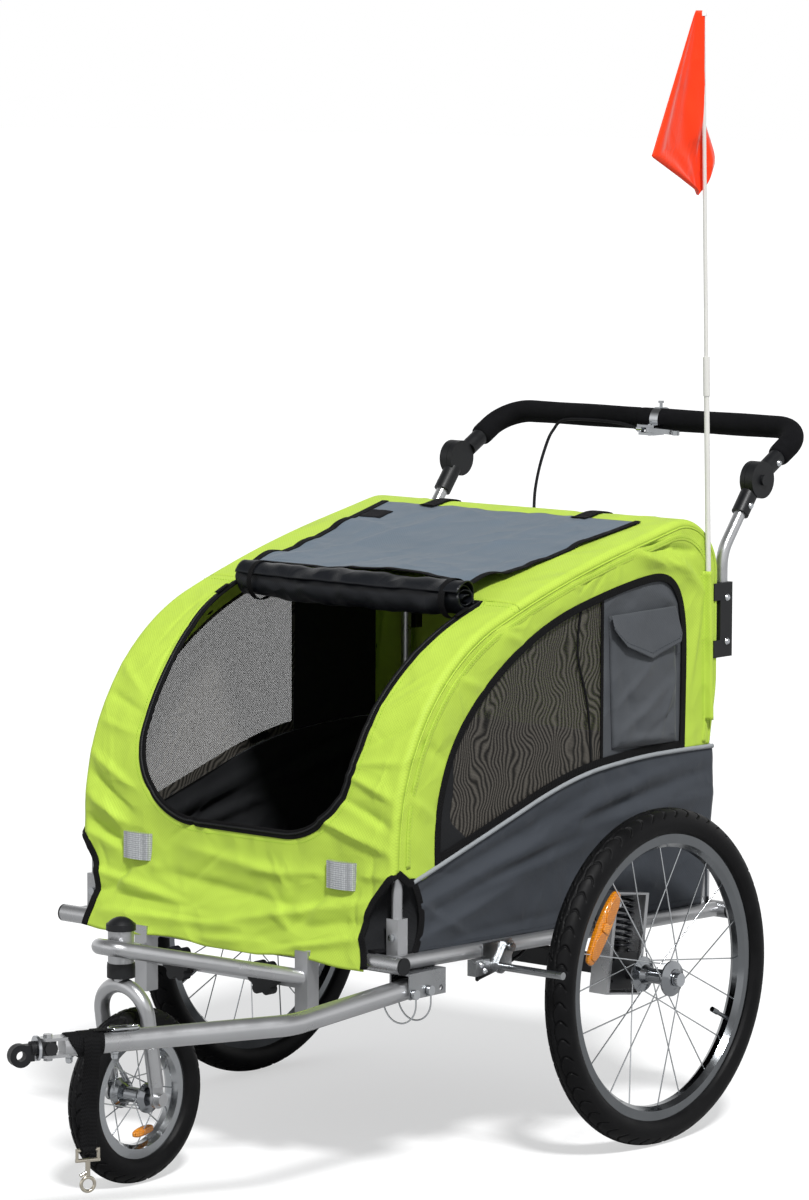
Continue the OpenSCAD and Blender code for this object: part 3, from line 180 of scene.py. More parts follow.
# Loose cloth, and stitches
FLAP_Y = (-214, 137)
FLAP_HALF = (208, 247)
ROLL = (-234, 806)
ROLL_X = (-204, 226)
ROLL_R = (6.5, 26.6)
ROLL_TURNS = (0.6, 3.35 * TAU)
TIE_R = 28
STITCH_W, STITCH_H = 1.3, 0.7

# Spacing of the drawn creases, grain, pores and threads, in mm
CREASE_CELL = 75
NYLON_GRAIN = 1.2
FOAM_PORE = 1.6
THREAD_PITCH = 2.0
TAPE_PITCH = 2.0

# Fabrics: the colour property of each oxford, and the colour of each thread
OXFORDS = {"lime": "lime", "slate": "lower", "grey": "pocket", "blue-grey": "flap"}
THREADS = {"lime": "#9cc431", "grey": "#3c4147", "black": "#2b2c30"}


def linear(code):
    """A #rrggbb colour as linear RGB."""
    srgb = np.array([int(code[i:i + 2], 16) for i in (1, 3, 5)]) / 255
    return tuple(np.where(srgb <= 0.04045, srgb / 12.92, ((srgb + 0.055) / 1.055) ** 2.4))


def rgba(colour):
    return (*colour[:3], 1)


def colour_property(name, description, code):
    return bpy.props.FloatVectorProperty(
        name=name, description=description, subtype="COLOR", size=3, min=0, max=1, default=linear(code))


def size_property(name, description, default, low, high):
    return bpy.props.FloatProperty(name=name, description=description, default=default, min=low, max=high)


class TrailerColours(bpy.types.PropertyGroup):
    """Colours of the visible materials."""
    lime: colour_property("Cover", "Polyester of the cabin", "#b0cb4a")
    flap: colour_property("Roof flap", "Polyester of the roof flap", "#606c77")
    lower: colour_property("Lower side", "Polyester of the lower side", "#3a3e44")
    pocket: colour_property("Pocket", "Polyester of the pocket and the panel behind it", "#4a4d51")
    black: colour_property("Webbing", "Webbing and binding", "#0b0b0c")
    silver: colour_property("Tubes", "Paint of the steel tubes", "#b2b3b5")
    piping: colour_property("Piping", "Piping between the cover and the lower side", "#8f9396")
    flag: colour_property("Flag", "Nylon of the flag", "#f83c10")
    amber: colour_property("Wheel reflectors", "Acrylic of the wheel reflectors", "#f6930f")


class TrailerSizes(bpy.types.PropertyGroup):
    """Sizes of the details, in mm."""
    weave: size_property("Weave", "Spacing of the cover's threads as drawn, mm", 2.4, 0.5, 6)
    mesh: size_property("Mesh", "Spacing of the window mesh as drawn, mm", 2.0, 1, 8)
    fold: size_property("Folds", "Height of the folds in the cover, as a factor", 3.0, 0, 4)
    tread: size_property("Tread", "Depth of the tyre grooves, mm", 2.8, 0, 4)
    binding: size_property("Binding", "Width of the black binding, mm", 11, 6, 16)
    cable: size_property("Cable", "Diameter of the brake cable, mm", 5, 4, 6)


def colours():
    return bpy.context.scene.trailer_colours


def sizes():
    return bpy.context.scene.trailer_sizes


def to_frame(points):
    """Millimetres about the rear axle as metres in the frame."""
    return (np.asarray(points, float) + (0, AXLE_Y, 0)) / 1000


def unit(v):
    return v / np.linalg.norm(v, axis=-1, keepdims=True)


def arc(centre, radius, start, stop, count):
    """count points of a circle from start to stop, in degrees."""
    a = np.radians(np.linspace(start, stop, count))
    return np.stack([centre[0] + radius * np.cos(a), centre[1] + radius * np.sin(a)], 1)


def lengths(path):
    """Arc length along a path, from 0."""
    return np.concatenate([[0], np.cumsum(np.linalg.norm(np.diff(path, axis=0), axis=1))])


def even(path, count):
    """count points evenly spaced along a path."""
    s = lengths(path)
    t = np.linspace(0, s[-1], count)
    return np.stack([np.interp(t, s, path[:, k]) for k in range(path.shape[1])], 1)


def shares(count):
    """count shares from 0 to 1, down the rows of a grid of points."""
    return np.linspace(0, 1, count)[:, None, None]


def power(v, k):
    """The k-th power of the size of v, with the sign of v."""
    return np.sign(v) * np.abs(v) ** k


def ease(share):
    """A smooth step from 0 to 1: three times the square less twice the cube of the share."""
    share = np.clip(share, 0, 1)
    return share * share * (3 - 2 * share)


def smooth(points, count):
    """Chaikin's corner cutting: each corner gives way to points at a quarter and three quarters of its edges,
    four times over; then even spacing. The ends stay."""
    p = np.asarray(points, float)
    for _ in range(4):
        cut = np.stack([0.75 * p[:-1] + 0.25 * p[1:], 0.25 * p[:-1] + 0.75 * p[1:]], 1)
        p = np.concatenate([p[:1], cut.reshape(-1, p.shape[1]), p[-1:]])
    return even(p, count)


def through(points, count):
    """Catmull-Rom curve through the points: each span is a cubic whose end slopes are half the chord of the
    neighbours; then even spacing."""
    p = np.asarray(points, float)
    q = np.concatenate([[2 * p[0] - p[1]], p, [2 * p[-1] - p[-2]]])
    t = np.linspace(0, 1, 25)[None, :-1, None]
    a, b, c, d = (q[i:len(q) - 3 + i, None, :] for i in range(4))
    run = 2 * b + (c - a) * t + (2 * a - 5 * b + 4 * c - d) * t ** 2 + (3 * b - a - 3 * c + d) * t ** 3
    return even(np.concatenate([0.5 * run.reshape(-1, p.shape[1]), p[-1:]]), count)


def bent(points, radius):
    """A path with straight runs whose corners are arcs of one radius, tangent to both runs."""
    p = np.asarray(points, float)
    run = [p[:1]]
    for a, b, c in zip(p[:-2], p[1:-1], p[2:]):
        d, e = unit(b - a), unit(c - b)
        turn = math.acos(float(np.clip(d @ e, -1, 1)))
        cut = radius * math.tan(turn / 2)
        inward = unit(e - (e @ d) * d)
        t = np.linspace(0, turn, 20)[:, None]
        run.append(b - cut * d + radius * (np.sin(t) * d + (1 - np.cos(t)) * inward))
    return np.concatenate(run + [p[-1:]])


def tangents(path, closed=False):
    """Unit tangents by central differences; a closed path repeats its first point at its end."""
    if closed:
        ring = path[:-1]
        t = np.roll(ring, -1, 0) - np.roll(ring, 1, 0)
        t = np.concatenate([t, t[:1]])
    else:
        t = np.gradient(path, axis=0)
    return unit(t)


def sweep(path, normal, profile, closed=False):
    """A profile carried along a path: point = path + a * side + b * normal for each (a, b) of the profile,
    where the normal is made square to the tangent and side = tangent x normal."""
    t = tangents(path, closed)
    n = np.broadcast_to(np.asarray(normal, float), path.shape)
    n = unit(n - np.sum(n * t, 1, keepdims=True) * t)
    side = np.cross(t, n)
    return path[:, None] + profile[None, :, :1] * side[:, None] + profile[None, :, 1:] * n[:, None]


def ellipse(a, b, count):
    """A closed ellipse with half axes a and b; the first point is repeated."""
    t = np.linspace(0, TAU, count + 1)
    return np.stack([a * np.cos(t), b * np.sin(t)], 1)


def tape(width, thick):
    """A flat band with rounded edges, as a closed profile whose lower face lies on the surface."""
    t = np.linspace(0, TAU, 17)
    return np.stack([power(np.cos(t), 0.5) * width / 2, (power(np.sin(t), 0.5) + 1) * thick / 2], 1)


def capped(grid):
    """The grid with its first and last ring drawn together to a point, so that a tube is closed."""
    ends = [np.broadcast_to(grid[i].mean(0), grid[i].shape)[None] for i in (0, -1)]
    return np.concatenate([ends[0], grid, ends[1]])


def grid_uv(grid):
    """Lengths along both ways of a grid, in metres: the cut lies flat in them."""
    across = np.linalg.norm(np.diff(grid, axis=0), axis=2)
    along = np.linalg.norm(np.diff(grid, axis=1), axis=2)
    u = np.concatenate([np.zeros((1, grid.shape[1])), np.cumsum(across, 0)])
    v = np.concatenate([np.zeros((grid.shape[0], 1)), np.cumsum(along, 1)], 1)
    return np.stack([u, v], 2) / 1000


def mesh_piece(name, points, faces, paint, body, uv=None, closed=False):
    """A mesh object from points in mm and faces; doubles are merged, so seams and poles are closed."""
    mesh = bpy.data.meshes.new(name)
    mesh.from_pydata(to_frame(points).tolist(), [], np.asarray(faces).tolist())
    if uv is not None:
        index = np.zeros(len(mesh.loops), np.int32)
        mesh.loops.foreach_get("vertex_index", index)
        layer = mesh.uv_layers.new(name="cut")
        layer.data.foreach_set("uv", np.asarray(uv, np.float32)[index].ravel())
    shape = bmesh.new()
    shape.from_mesh(mesh)
    bmesh.ops.remove_doubles(shape, verts=shape.verts, dist=2e-6)
    if closed:
        bmesh.ops.recalc_face_normals(shape, faces=shape.faces)
    shape.to_mesh(mesh)
    shape.free()
    mesh.polygons.foreach_set("use_smooth", np.ones(len(mesh.polygons), bool))
    mesh.materials.append(paint)
    piece = bpy.data.objects.new(name, mesh)
    bpy.context.scene.collection.objects.link(piece)
    if body:
        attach(piece, body)
    return piece


def grid_faces(rows, columns):
    """Quads between neighbours of a grid of points."""
    i, j = np.meshgrid(np.arange(rows - 1), np.arange(columns - 1), indexing="ij")
    a = (i * columns + j).ravel()
    return np.stack([a, a + 1, a + columns + 1, a + columns], 1)


def quad_normals(grid):
    """Cross product of the diagonals of each quad of a grid: twice as long as the quad's area."""
    return np.cross(grid[1:, 1:] - grid[:-1, :-1], grid[1:, :-1] - grid[:-1, 1:])


def grid_area(grid):
    """Area of a grid of points in square metres."""
    return float(np.sum(np.linalg.norm(quad_normals(grid), axis=2)) / 2e6)


def surface(name, grid, paint, body="chassis", facing=None, thick=0.0, uv=None, lining=None):
    """The piece whose points are a grid (rows, columns, 3) in mm; an open sheet's faces look the way that
    facing says; thick, in mm, gives a sheet its wall, and a lining is the material of its inner face. With
    neither, the grid is a closed skin."""
    faces = grid_faces(*grid.shape[:2])
    if facing is not None and np.sum(quad_normals(grid) @ np.asarray(facing, float)) < 0:
        faces = faces[:, ::-1]
    uv = grid_uv(grid) if uv is None else uv
    closed = facing is None and not thick
    piece = mesh_piece(name, grid.reshape(-1, 3), faces, paint, body, uv.reshape(-1, 2), closed)
    if thick:
        wall = piece.modifiers.new("wall", "SOLIDIFY")
        wall.thickness = thick / 1000
        wall.offset = -1
        if lining:
            piece.data.materials.append(lining)
            wall.material_offset = 1
    return piece


def strip(name, path, normal, profile, paint, closed=False):
    """A profile swept along a path as one closed skin: a ring, or a run with its ends drawn together."""
    grid = sweep(path, normal, profile, closed)
    return surface(name, grid if closed else capped(grid), paint)


def binding(name, path, normal, width, closed=False, thick=2.6):
    """Black binding tape folded over an edge: a flat rounded band swept along it."""
    strip(name, path, normal, tape(width, thick) - (0, thick * 0.35), nylon_tape(), closed)


def sheet(name, grid, paint, slot, flat=None, area=None, held="stretched", on="cabin_frame", replaced=None,
          **look):
    """A piece of cloth; the part that it replaces is hidden. Unless they are given, its area is that of the
    grid and its cut the box of the grid's lengths."""
    piece = surface(name, grid, paint, **look)
    area = area or grid_area(grid)
    if flat is None:
        cut = grid_uv(grid)
        width = float(cut[-1, :, 0].max())
        length = max(float(cut[:, -1, 1].max()), area / width)
        flat = (min(width, 2 * area / length), length)
    if replaced:
        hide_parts(replaced)


def stitches(name, path, normal, thread, pitch=5.0, long=3.4):
    """A row of stitches: at each pitch along the path an eight-faced lozenge lies on the cloth."""
    count = max(2, int(lengths(path)[-1] / pitch))
    p = even(path, count)
    t = tangents(p)
    n = even(np.broadcast_to(np.asarray(normal, float), path.shape), count)
    n = unit(n - np.sum(n * t, 1, keepdims=True) * t)
    side = np.cross(t, n)
    half = [t * long / 2, side * STITCH_W / 2, n * STITCH_H]
    points = (p[:, None] + np.stack([sign * h for h in half for sign in (1, -1)], 1)).reshape(-1, 3)
    lozenge = np.array([
        (0, 2, 4), (2, 1, 4), (1, 3, 4), (3, 0, 4), (2, 0, 5), (1, 2, 5), (3, 1, 5), (0, 3, 5)])
    faces = (6 * np.arange(count)[:, None, None] + lozenge[None]).reshape(-1, 3)
    mesh_piece(name, points, faces, thread, "chassis", closed=True)


def folds(x, y, table):
    """Folds in cloth: row (x0, y0, x1, y1, width, height) is a ridge along that line with the section
    height * exp(-|d / w|^1.5), where w is half the width on its steep side and the whole width on its soft
    side; it swells from both ends to its middle and fades out past them."""
    rows = np.asarray(table, float)
    a, e = rows[:, :2], rows[:, 2:4] - rows[:, :2]
    size = np.linalg.norm(e, axis=1)
    dx, dy = x[..., None] - a[:, 0], y[..., None] - a[:, 1]
    along = (dx * e[:, 0] + dy * e[:, 1]) / size
    aside = (dx * e[:, 1] - dy * e[:, 0]) / size
    past = np.maximum(0, np.maximum(-along, along - size))
    wide = rows[:, 4] * np.where(aside > 0, 1.0, 0.5)
    swell = 0.55 + 0.45 * np.sin(math.pi * np.clip(along / size, 0, 1))
    ridge = np.exp(-np.abs(aside / wide) ** 1.5 - (past / (2 * rows[:, 4])) ** 2)
    return np.sum(rows[:, 5] * swell * ridge, -1)


def crease_table(seed, count, low, high, span, width, height):
    """Seeded small creases: even positions in a box, any direction."""
    rng = np.random.default_rng(seed)
    start = rng.uniform(low, high, (count, 2))
    turn = rng.uniform(0, TAU, count)
    reach = rng.uniform(0.5, 1, count) * span
    stop = start + reach[:, None] * np.stack([np.cos(turn), np.sin(turn)], 1)
    width, height = rng.uniform(0.6, 1.2, count) * width, rng.uniform(-1, 1, count) * height
    return np.column_stack([start, stop, width, height])


def node(tree, kind, inputs=None, to=None, **settings):
    """Adds one shader node, sets its properties, sets or links its inputs, and links its first output."""
    made = tree.nodes.new("ShaderNode" + kind)
    for key, value in settings.items():
        setattr(made, key, value)
    for key, value in (inputs or {}).items():
        if isinstance(value, bpy.types.NodeSocket):
            tree.links.new(value, made.inputs[key])
        else:
            made.inputs[key].default_value = value
    if to:
        tree.links.new(made.outputs[0], to)
    return made


def material(name, colour, roughness, metallic=0.0, **sockets):
    """A Principled material with its even values on its own sockets; returns it with its tree and shader."""
    made = bpy.data.materials.get(name)
    if made:
        return made, None, None
    made = bpy.data.materials.new(name)
    made.use_nodes = True
    tree = made.node_tree
    shader = tree.nodes["Principled BSDF"]
    shader.inputs["Base Color"].default_value = rgba(colour)
    shader.inputs["Roughness"].default_value = roughness
    shader.inputs["Metallic"].default_value = metallic
    for key, value in sockets.items():
        shader.inputs[key.replace("_", " ")].default_value = value
    return made, tree, shader


def mottle(tree, shader, colour, vector, scale, share, light, dark):
    """Colour that drifts between a darker and a lighter tone of itself, by noise of that scale per metre."""
    noise = node(tree, "TexNoise", {"Vector": vector, "Scale": scale, "Detail": 4.0, "Roughness": 0.6})
    tone = node(tree, "MapRange", {
        "Value": noise.outputs["Fac"], "From Min": 0.5 - share, "From Max": 0.5 + share})
    return noise.outputs["Fac"], two_tones(tree, shader, tone.outputs[0], colour, dark, light)


def two_tones(tree, shader, factor, colour, first, last):
    """Base colour between two multiples of a colour, by a factor from 0 to 1."""
    mix = node(tree, "Mix", {
        "Factor": factor, "A": rgba([min(1, c * first) for c in colour]),
        "B": rgba([min(1, c * last) for c in colour])}, data_type="RGBA")
    tree.links.new(mix.outputs["Result"], shader.inputs["Base Color"])
    return mix.outputs["Result"]


def relief(tree, shader, height, strength, distance, shine=None, rough=None):
    """Bumps of that height in metres, and a roughness that follows a noise between two values."""
    node(tree, "Bump", {
        "Height": height, "Strength": strength, "Distance": distance}, shader.inputs["Normal"])
    if rough:
        node(tree, "MapRange", {
            "Value": shine, "From Min": 0.3, "From Max": 0.7, "To Min": rough[0], "To Max": rough[1]},
            shader.inputs["Roughness"])


def weave_height(tree, vector, pitch):
    """Plain weave: |sin u| and |sin v| taken by turns, thread over thread, from lengths in metres."""
    part = node(tree, "SeparateXYZ", {"Vector": vector})
    turns = math.pi * 1000 / pitch
    wave = []
    for axis in ("X", "Y"):
        angle = node(tree, "Math", {0: part.outputs[axis], 1: turns}, operation="MULTIPLY")
        wave.append(node(tree, "Math", {0: angle.outputs[0]}, operation="SINE").outputs[0])
    return node(tree, "Math", {0: wave[0], 1: wave[1]}, operation="MULTIPLY").outputs[0]


def polyester(name, colour, pitch, sheen=0.06, roughness=0.62, crease=2.2):
    """Coated polyester oxford, woven: a fine basket of threads, a soft sheen at a low angle, a slightly
    uneven dye, and sharp packing creases some 75 mm apart and crease mm high. The crowns of the threads are
    painted a little lighter and the hollows between them darker, as painted shade. The threads are drawn
    about three times their real size, because real ones would not show."""
    made, tree, shader = material(
        name, colour, roughness, Sheen_Weight=sheen, Sheen_Roughness=0.4, Specular_IOR_Level=0.2)
    if tree is None:
        return made
    place = node(tree, "UVMap", uv_map="cut").outputs["UV"]
    body = node(tree, "TexCoord").outputs["Object"]
    shine, dye = mottle(tree, shader, colour, body, 16, 0.35, 1.05, 0.93)
    weave = weave_height(tree, place, pitch)
    # painted shade of the weave: colour darker in the hollows between threads, lighter on their crowns
    tone = node(tree, "MapRange", {
        "Value": weave, "From Min": -1, "From Max": 1, "To Min": 0.9, "To Max": 1.06})
    base = shader.inputs["Base Color"]
    node(tree, "VectorMath", {0: dye, "Scale": tone.outputs[0]}, base, operation="SCALE")
    drift = node(tree, "TexNoise", {"Vector": body, "Scale": 6, "Detail": 1.0})
    shifted = node(tree, "VectorMath", {
        0: drift.outputs["Color"], 1: (0.12, 0.12, 0.12), 2: body}, operation="MULTIPLY_ADD")
    ridge = node(tree, "TexVoronoi", {
        "Vector": shifted.outputs[0], "Scale": 1000 / CREASE_CELL}, feature="DISTANCE_TO_EDGE")
    sharp = node(tree, "MapRange", {
        "Value": ridge.outputs["Distance"], "From Max": 0.4}, interpolation_type="SMOOTHERSTEP")
    tall = node(tree, "Math", {0: sharp.outputs[0], 1: crease}, operation="MULTIPLY")
    crumple = node(tree, "TexNoise", {"Vector": body, "Scale": 40, "Detail": 3.0})
    small = node(tree, "Math", {
        0: crumple.outputs["Fac"], 1: 1.4, 2: tall.outputs[0]}, operation="MULTIPLY_ADD")
    height = node(tree, "Math", {0: weave, 1: 0.12, 2: small.outputs[0]}, operation="MULTIPLY_ADD")
    relief(tree, shader, height.outputs[0], 0.8, 0.001, shine, (roughness - 0.06, roughness + 0.08))
    return made


def oxford(name, sheen=0.06):
    """The cover's polyester in one of its colours."""
    return polyester(name + " polyester oxford", getattr(colours(), OXFORDS[name]), sizes().weave, sheen)


def sewing_thread(name):
    """Polyester thread: a dull cord that shows as short bright stitches."""
    return polyester(name + " sewing thread", linear(THREADS[name]), THREAD_PITCH)


def silver_piping():
    """Reflective piping: a smooth pale cord."""
    return polyester("reflective piping", colours().piping, 1.5, roughness=0.45)


def black_lining():
    """Black polyester lining, woven: the dull inner face of the sides."""
    return polyester("black polyester lining", linear("#1a1b1d"), 2.4, sheen=0.0, roughness=0.8)


def webbing(name, colour, pitch=TAPE_PITCH):
    """Nylon webbing, woven in ribs: black with a dull shine on the ribs and dust between them."""
    made, tree, shader = material(name, colour, 0.7, Specular_IOR_Level=0.1)
    if tree:
        place = node(tree, "UVMap", uv_map="cut").outputs["UV"]
        body = node(tree, "TexCoord").outputs["Object"]
        shine, _ = mottle(tree, shader, colour, body, 40, 0.3, 2.2, 0.7)
        relief(tree, shader, weave_height(tree, place, pitch), 0.5, 0.0008, shine, (0.6, 0.8))
    return made


def nylon_tape():
    return webbing("nylon webbing", colours().black)


def floor_cloth():
    """Black coated floor cloth over a board: a dull weave read from the piece's own coordinates."""
    colour = linear("#0e0e10")
    made, tree, shader = material("black coated floor cloth", colour, 0.75, Specular_IOR_Level=0.15)
    if tree:
        place = node(tree, "TexCoord").outputs["Object"]
        shine, _ = mottle(tree, shader, colour, place, 18, 0.3, 1.5, 0.8)
        relief(tree, shader, weave_height(tree, place, 3.0), 0.4, 0.0008, shine, (0.65, 0.85))
    return made


def window_mesh(pitch):
    """Black polyester mesh, knitted: fine open cells that let some light through, dusty grey-brown threads; a
    dark veil from a distance. The threads wander a little, so that the veil has soft bands."""
    colour = linear("#46433e")
    made, tree, shader = material("knitted polyester mesh", colour, 0.75, Specular_IOR_Level=0.25)
    if tree is None:
        return made
    place = node(tree, "UVMap", uv_map="cut").outputs["UV"]
    drift = node(tree, "TexNoise", {"Vector": place, "Scale": 14, "Detail": 1.0})
    wander = node(tree, "VectorMath", {0: drift.outputs["Color"], "Scale": 0.004}, operation="SCALE")
    moved = node(tree, "VectorMath", {0: place, 1: wander.outputs[0]}, operation="ADD")
    part = node(tree, "SeparateXYZ", {"Vector": moved.outputs[0]})
    bands = node(tree, "TexWave", {
        "Vector": place, "Scale": 40, "Distortion": 30.0, "Detail": 1.5, "Detail Scale": 0.35})
    share = node(tree, "MapRange", {"Value": bands.outputs["Fac"], "To Min": 0.585, "To Max": 0.615})
    threads = []
    for axis in ("X", "Y"):
        turn = node(tree, "Math", {0: part.outputs[axis], 1: 2000 / pitch}, operation="MULTIPLY")
        saw = node(tree, "Math", {0: turn.outputs[0], 1: 1.0}, operation="PINGPONG")
        thread = node(tree, "Math", {0: saw.outputs[0], 1: share.outputs[0]}, operation="LESS_THAN")
        threads.append(thread.outputs[0])
    node(tree, "Math", {0: threads[0], 1: threads[1]}, shader.inputs["Alpha"], operation="MAXIMUM")
    two_tones(tree, shader, bands.outputs["Fac"], colour, 0.15, 1.55)
    return made


def grained(name, colour, roughness, drift, tones, grain, metallic=0.0, **sockets):
    """A material with fine bumps and an uneven shine: drift is what the roughness loses and gains, tones are
    the numbers of mottle, and grain is the bumps' noise scale, detail, strength and height."""
    made, tree, shader = material(name, colour, roughness, metallic, **sockets)
    if tree:
        place = node(tree, "TexCoord").outputs["Object"]
        shine, _ = mottle(tree, shader, colour, place, *tones)
        fine = node(tree, "TexNoise", {"Vector": place, "Scale": grain[0], "Detail": grain[1]})
        rough = (roughness - drift[0], roughness + drift[1])
        relief(tree, shader, fine.outputs["Fac"], *grain[2:], shine, rough)
    return made


def moulded(name, colour, roughness=0.42):
    """Moulded nylon plastic: near black, a fine spark-eroded grain that softens the highlights."""
    return grained(
        name, colour, roughness, (0.08, 0.1), (30, 0.3, 1.35, 0.85), (1000 / NYLON_GRAIN, 2.0, 0.22, 0.0004),
        Specular_IOR_Level=0.28)


def rubber(name, colour):
    """Moulded tyre rubber: dull black with a breath of dust, finely pitted."""
    return grained(
        name, colour, 0.5, (0.12, 0.1), (24, 0.28, 1.9, 0.7), (700, 3.0, 0.25, 0.0006),
        Specular_IOR_Level=0.1)


def silver_paint():
    """Silver powder coat on steel tube: metal flake under satin lacquer, orange peel about 3 mm across."""
    return grained(
        "silver powder coat", colours().silver, 0.3, (0.06, 0.06), (12, 0.3, 1.08, 0.9),
        (330, 2.0, 0.1, 0.0005), 0.85, Coat_Weight=0.3, Coat_Roughness=0.15)


def bright_metal(name, code, roughness):
    """Polished chrome-plated steel and alloy: sharp reflections, faintly streaked by polishing."""
    return grained(
        name, linear(code), roughness, (0.05, 0.1), (20, 0.3, 1.05, 0.88), (180, 4.0, 0.05, 0.0004), 1.0)


def foam():
    """Closed-cell foam: matt black, pored, the pores drawn about twice their real size."""
    colour = linear("#0d0d0f")
    made, tree, shader = material("EVA foam", colour, 0.9, Specular_IOR_Level=0.1)
    if tree:
        place = node(tree, "TexCoord").outputs["Object"]
        mottle(tree, shader, colour, place, 60, 0.3, 1.6, 0.8)
        cells = node(tree, "TexVoronoi", {"Vector": place, "Scale": 1000 / FOAM_PORE})
        relief(tree, shader, cells.outputs["Distance"], 0.4, 0.0006)
    return made


def plated_end(name, way, past):
    """Black plastic or paint up to a plane, zinc-plated steel past it: past is a length along the way, in
    metres."""
    colour, metal = linear("#121315"), linear("#c9ccd0")
    made, tree, shader = material(name, colour, 0.4)
    if tree:
        place = node(tree, "TexCoord").outputs["Object"]
        along = node(tree, "VectorMath", {0: place, 1: tuple(way)}, operation="DOT_PRODUCT")
        mask = node(tree, "Math", {0: along.outputs["Value"], 1: past}, operation="GREATER_THAN").outputs[0]
        mix = node(tree, "Mix", {"Factor": mask, "A": rgba(colour), "B": rgba(metal)}, data_type="RGBA")
        tree.links.new(mix.outputs["Result"], shader.inputs["Base Color"])
        tree.links.new(mask, shader.inputs["Metallic"])
        node(tree, "MapRange", {"Value": mask, "To Min": 0.42, "To Max": 0.2}, shader.inputs["Roughness"])
        noise = node(tree, "TexNoise", {"Vector": place, "Scale": 120, "Detail": 3.0})
        relief(tree, shader, noise.outputs["Fac"], 0.12, 0.0004)
    return made


def reflector(name, colour, cell):
    """Moulded acrylic reflector: a smooth face over rows of small prisms, each painted lighter in its middle
    and darker at its edges as painted sparkle.
    """
    made, tree, shader = material(name, colour, 0.12, Coat_Weight=0.8, Coat_Roughness=0.05)
    if tree:
        place = node(tree, "TexCoord").outputs["Object"]
        cells = node(tree, "TexVoronoi", {"Vector": place, "Scale": 1000 / cell, "Randomness": 0.15})
        # painted sparkle: each prism's colour is lighter in its middle and darker at its edges
        tone = node(tree, "MapRange", {"Value": cells.outputs["Distance"], "From Max": 0.6})
        two_tones(tree, shader, tone.outputs[0], colour, 1.25, 0.5)
        relief(tree, shader, cells.outputs["Distance"], 0.7, 0.001)
    return made


def fibreglass():
    """Pultruded fibreglass rod: white gelcoat with faint streaks along it."""
    colour = linear("#d6d5d0")
    made, tree, shader = material("white fibreglass", colour, 0.4, Specular_IOR_Level=0.5)
    if tree:
        place = node(tree, "TexCoord").outputs["Object"]
        stretch = node(tree, "Mapping", {"Vector": place, "Scale": (1, 1, 0.03)})
        mottle(tree, shader, colour, stretch.outputs[0], 400, 0.3, 1.04, 0.9)
    return made


def rear_swell(y, z):
    """How far the roof's rear and the upper back stand out, in mm."""
    return REAR_SWELL * np.clip((z - STRIPE_REAR_Z) / 90, 0, 1) * np.clip((y - 60) / 190, 0, 1) ** 2


def cover_outline():
    """The cabin's outline in (y, z) from the front hem over the roof to the back hem, its lengths and its
    normals."""
    (by, bz), bow_r = BOW
    (ry, rz), roof_r = ROOF
    corner_y = REAR_Y - CORNER_R
    corner_z = rz + math.sqrt((roof_r - CORNER_R) ** 2 - (corner_y - ry) ** 2)
    corner_dir = math.degrees(math.atan2(corner_z - rz, corner_y - ry))
    path = np.concatenate([
        smooth([(-507, 309), (-496, 350), (-479, 415), (FRONT_Y, 470)], 60)[:-1],
        arc((by, bz), bow_r, 180, ROOF_DIR, 90)[:-1],
        arc((ry, rz), roof_r, ROOF_DIR, corner_dir, 70)[:-1],
        arc((corner_y, corner_z), CORNER_R, corner_dir, 0, 40)[:-1],
        np.array([(REAR_Y, corner_z - i * 20) for i in range(26)])])
    path = path[path[:, 1] > HEM_Z]
    swell = rear_swell(path[:, 0], path[:, 1])
    path[:, 1] += 5 * np.exp(-((path[:, 0] - 190) / 70) ** 2) * np.clip((path[:, 1] - 700) / 100, 0, 1)
    path[:, 0] += swell
    path = even(path, 900)
    t = tangents(path)
    return path, lengths(path), np.stack([-t[:, 1], t[:, 0]], 1)


OUTLINE, OUTLINE_S, OUTLINE_N = cover_outline()
TOP = int(OUTLINE[:, 1].argmax())


def s_of_z(z):
    """Length along the outline where its front side is z high."""
    return np.interp(z, OUTLINE[:TOP, 1], OUTLINE_S[:TOP])


def s_of_y(y):
    """Length along the outline where its roof is at y."""
    start = int(np.argmax(OUTLINE[:, 1] > 700))
    return np.interp(y, OUTLINE[start:TOP, 0], OUTLINE_S[start:TOP])


STRIPE_S = float(OUTLINE_S[TOP:][np.argmin(np.abs(OUTLINE[TOP:, 1] - STRIPE_REAR_Z))])
SPLIT_S = s_of_y(SPLIT_Y)


def along_outline(s, rows):
    """The rows of the outline, or of its normals, at lengths along it."""
    return [np.interp(s, OUTLINE_S, c) for c in rows.T]


def band(x, s, lift):
    """A point of the band over front, roof and back: x across, s along the outline, raised along its normal;
    towards its edges it rolls down over a quarter circle of EDGE_R, and the back swells only at its sides."""
    (y, z), (ny, nz) = along_outline(s, OUTLINE), along_outline(s, OUTLINE_N)
    over = np.clip(np.abs(x) - (HALF - EDGE_R), 0, EDGE_R)
    d = lift - (EDGE_R - np.sqrt(EDGE_R ** 2 - over ** 2))
    flat = rear_swell(y - REAR_SWELL, z) * ease((270 - np.abs(x)) / 130)
    return np.stack([x, y + ny * d - flat, z + nz * d], -1)


def band_normal(s):
    return np.stack([np.zeros_like(s), *along_outline(s, OUTLINE_N)], -1)


def edge_fade(x):
    """1 over the cabin's width, falling to 0 at its sides."""
    return np.clip((HALF - np.abs(x)) / EDGE_FADE, 0, 1)


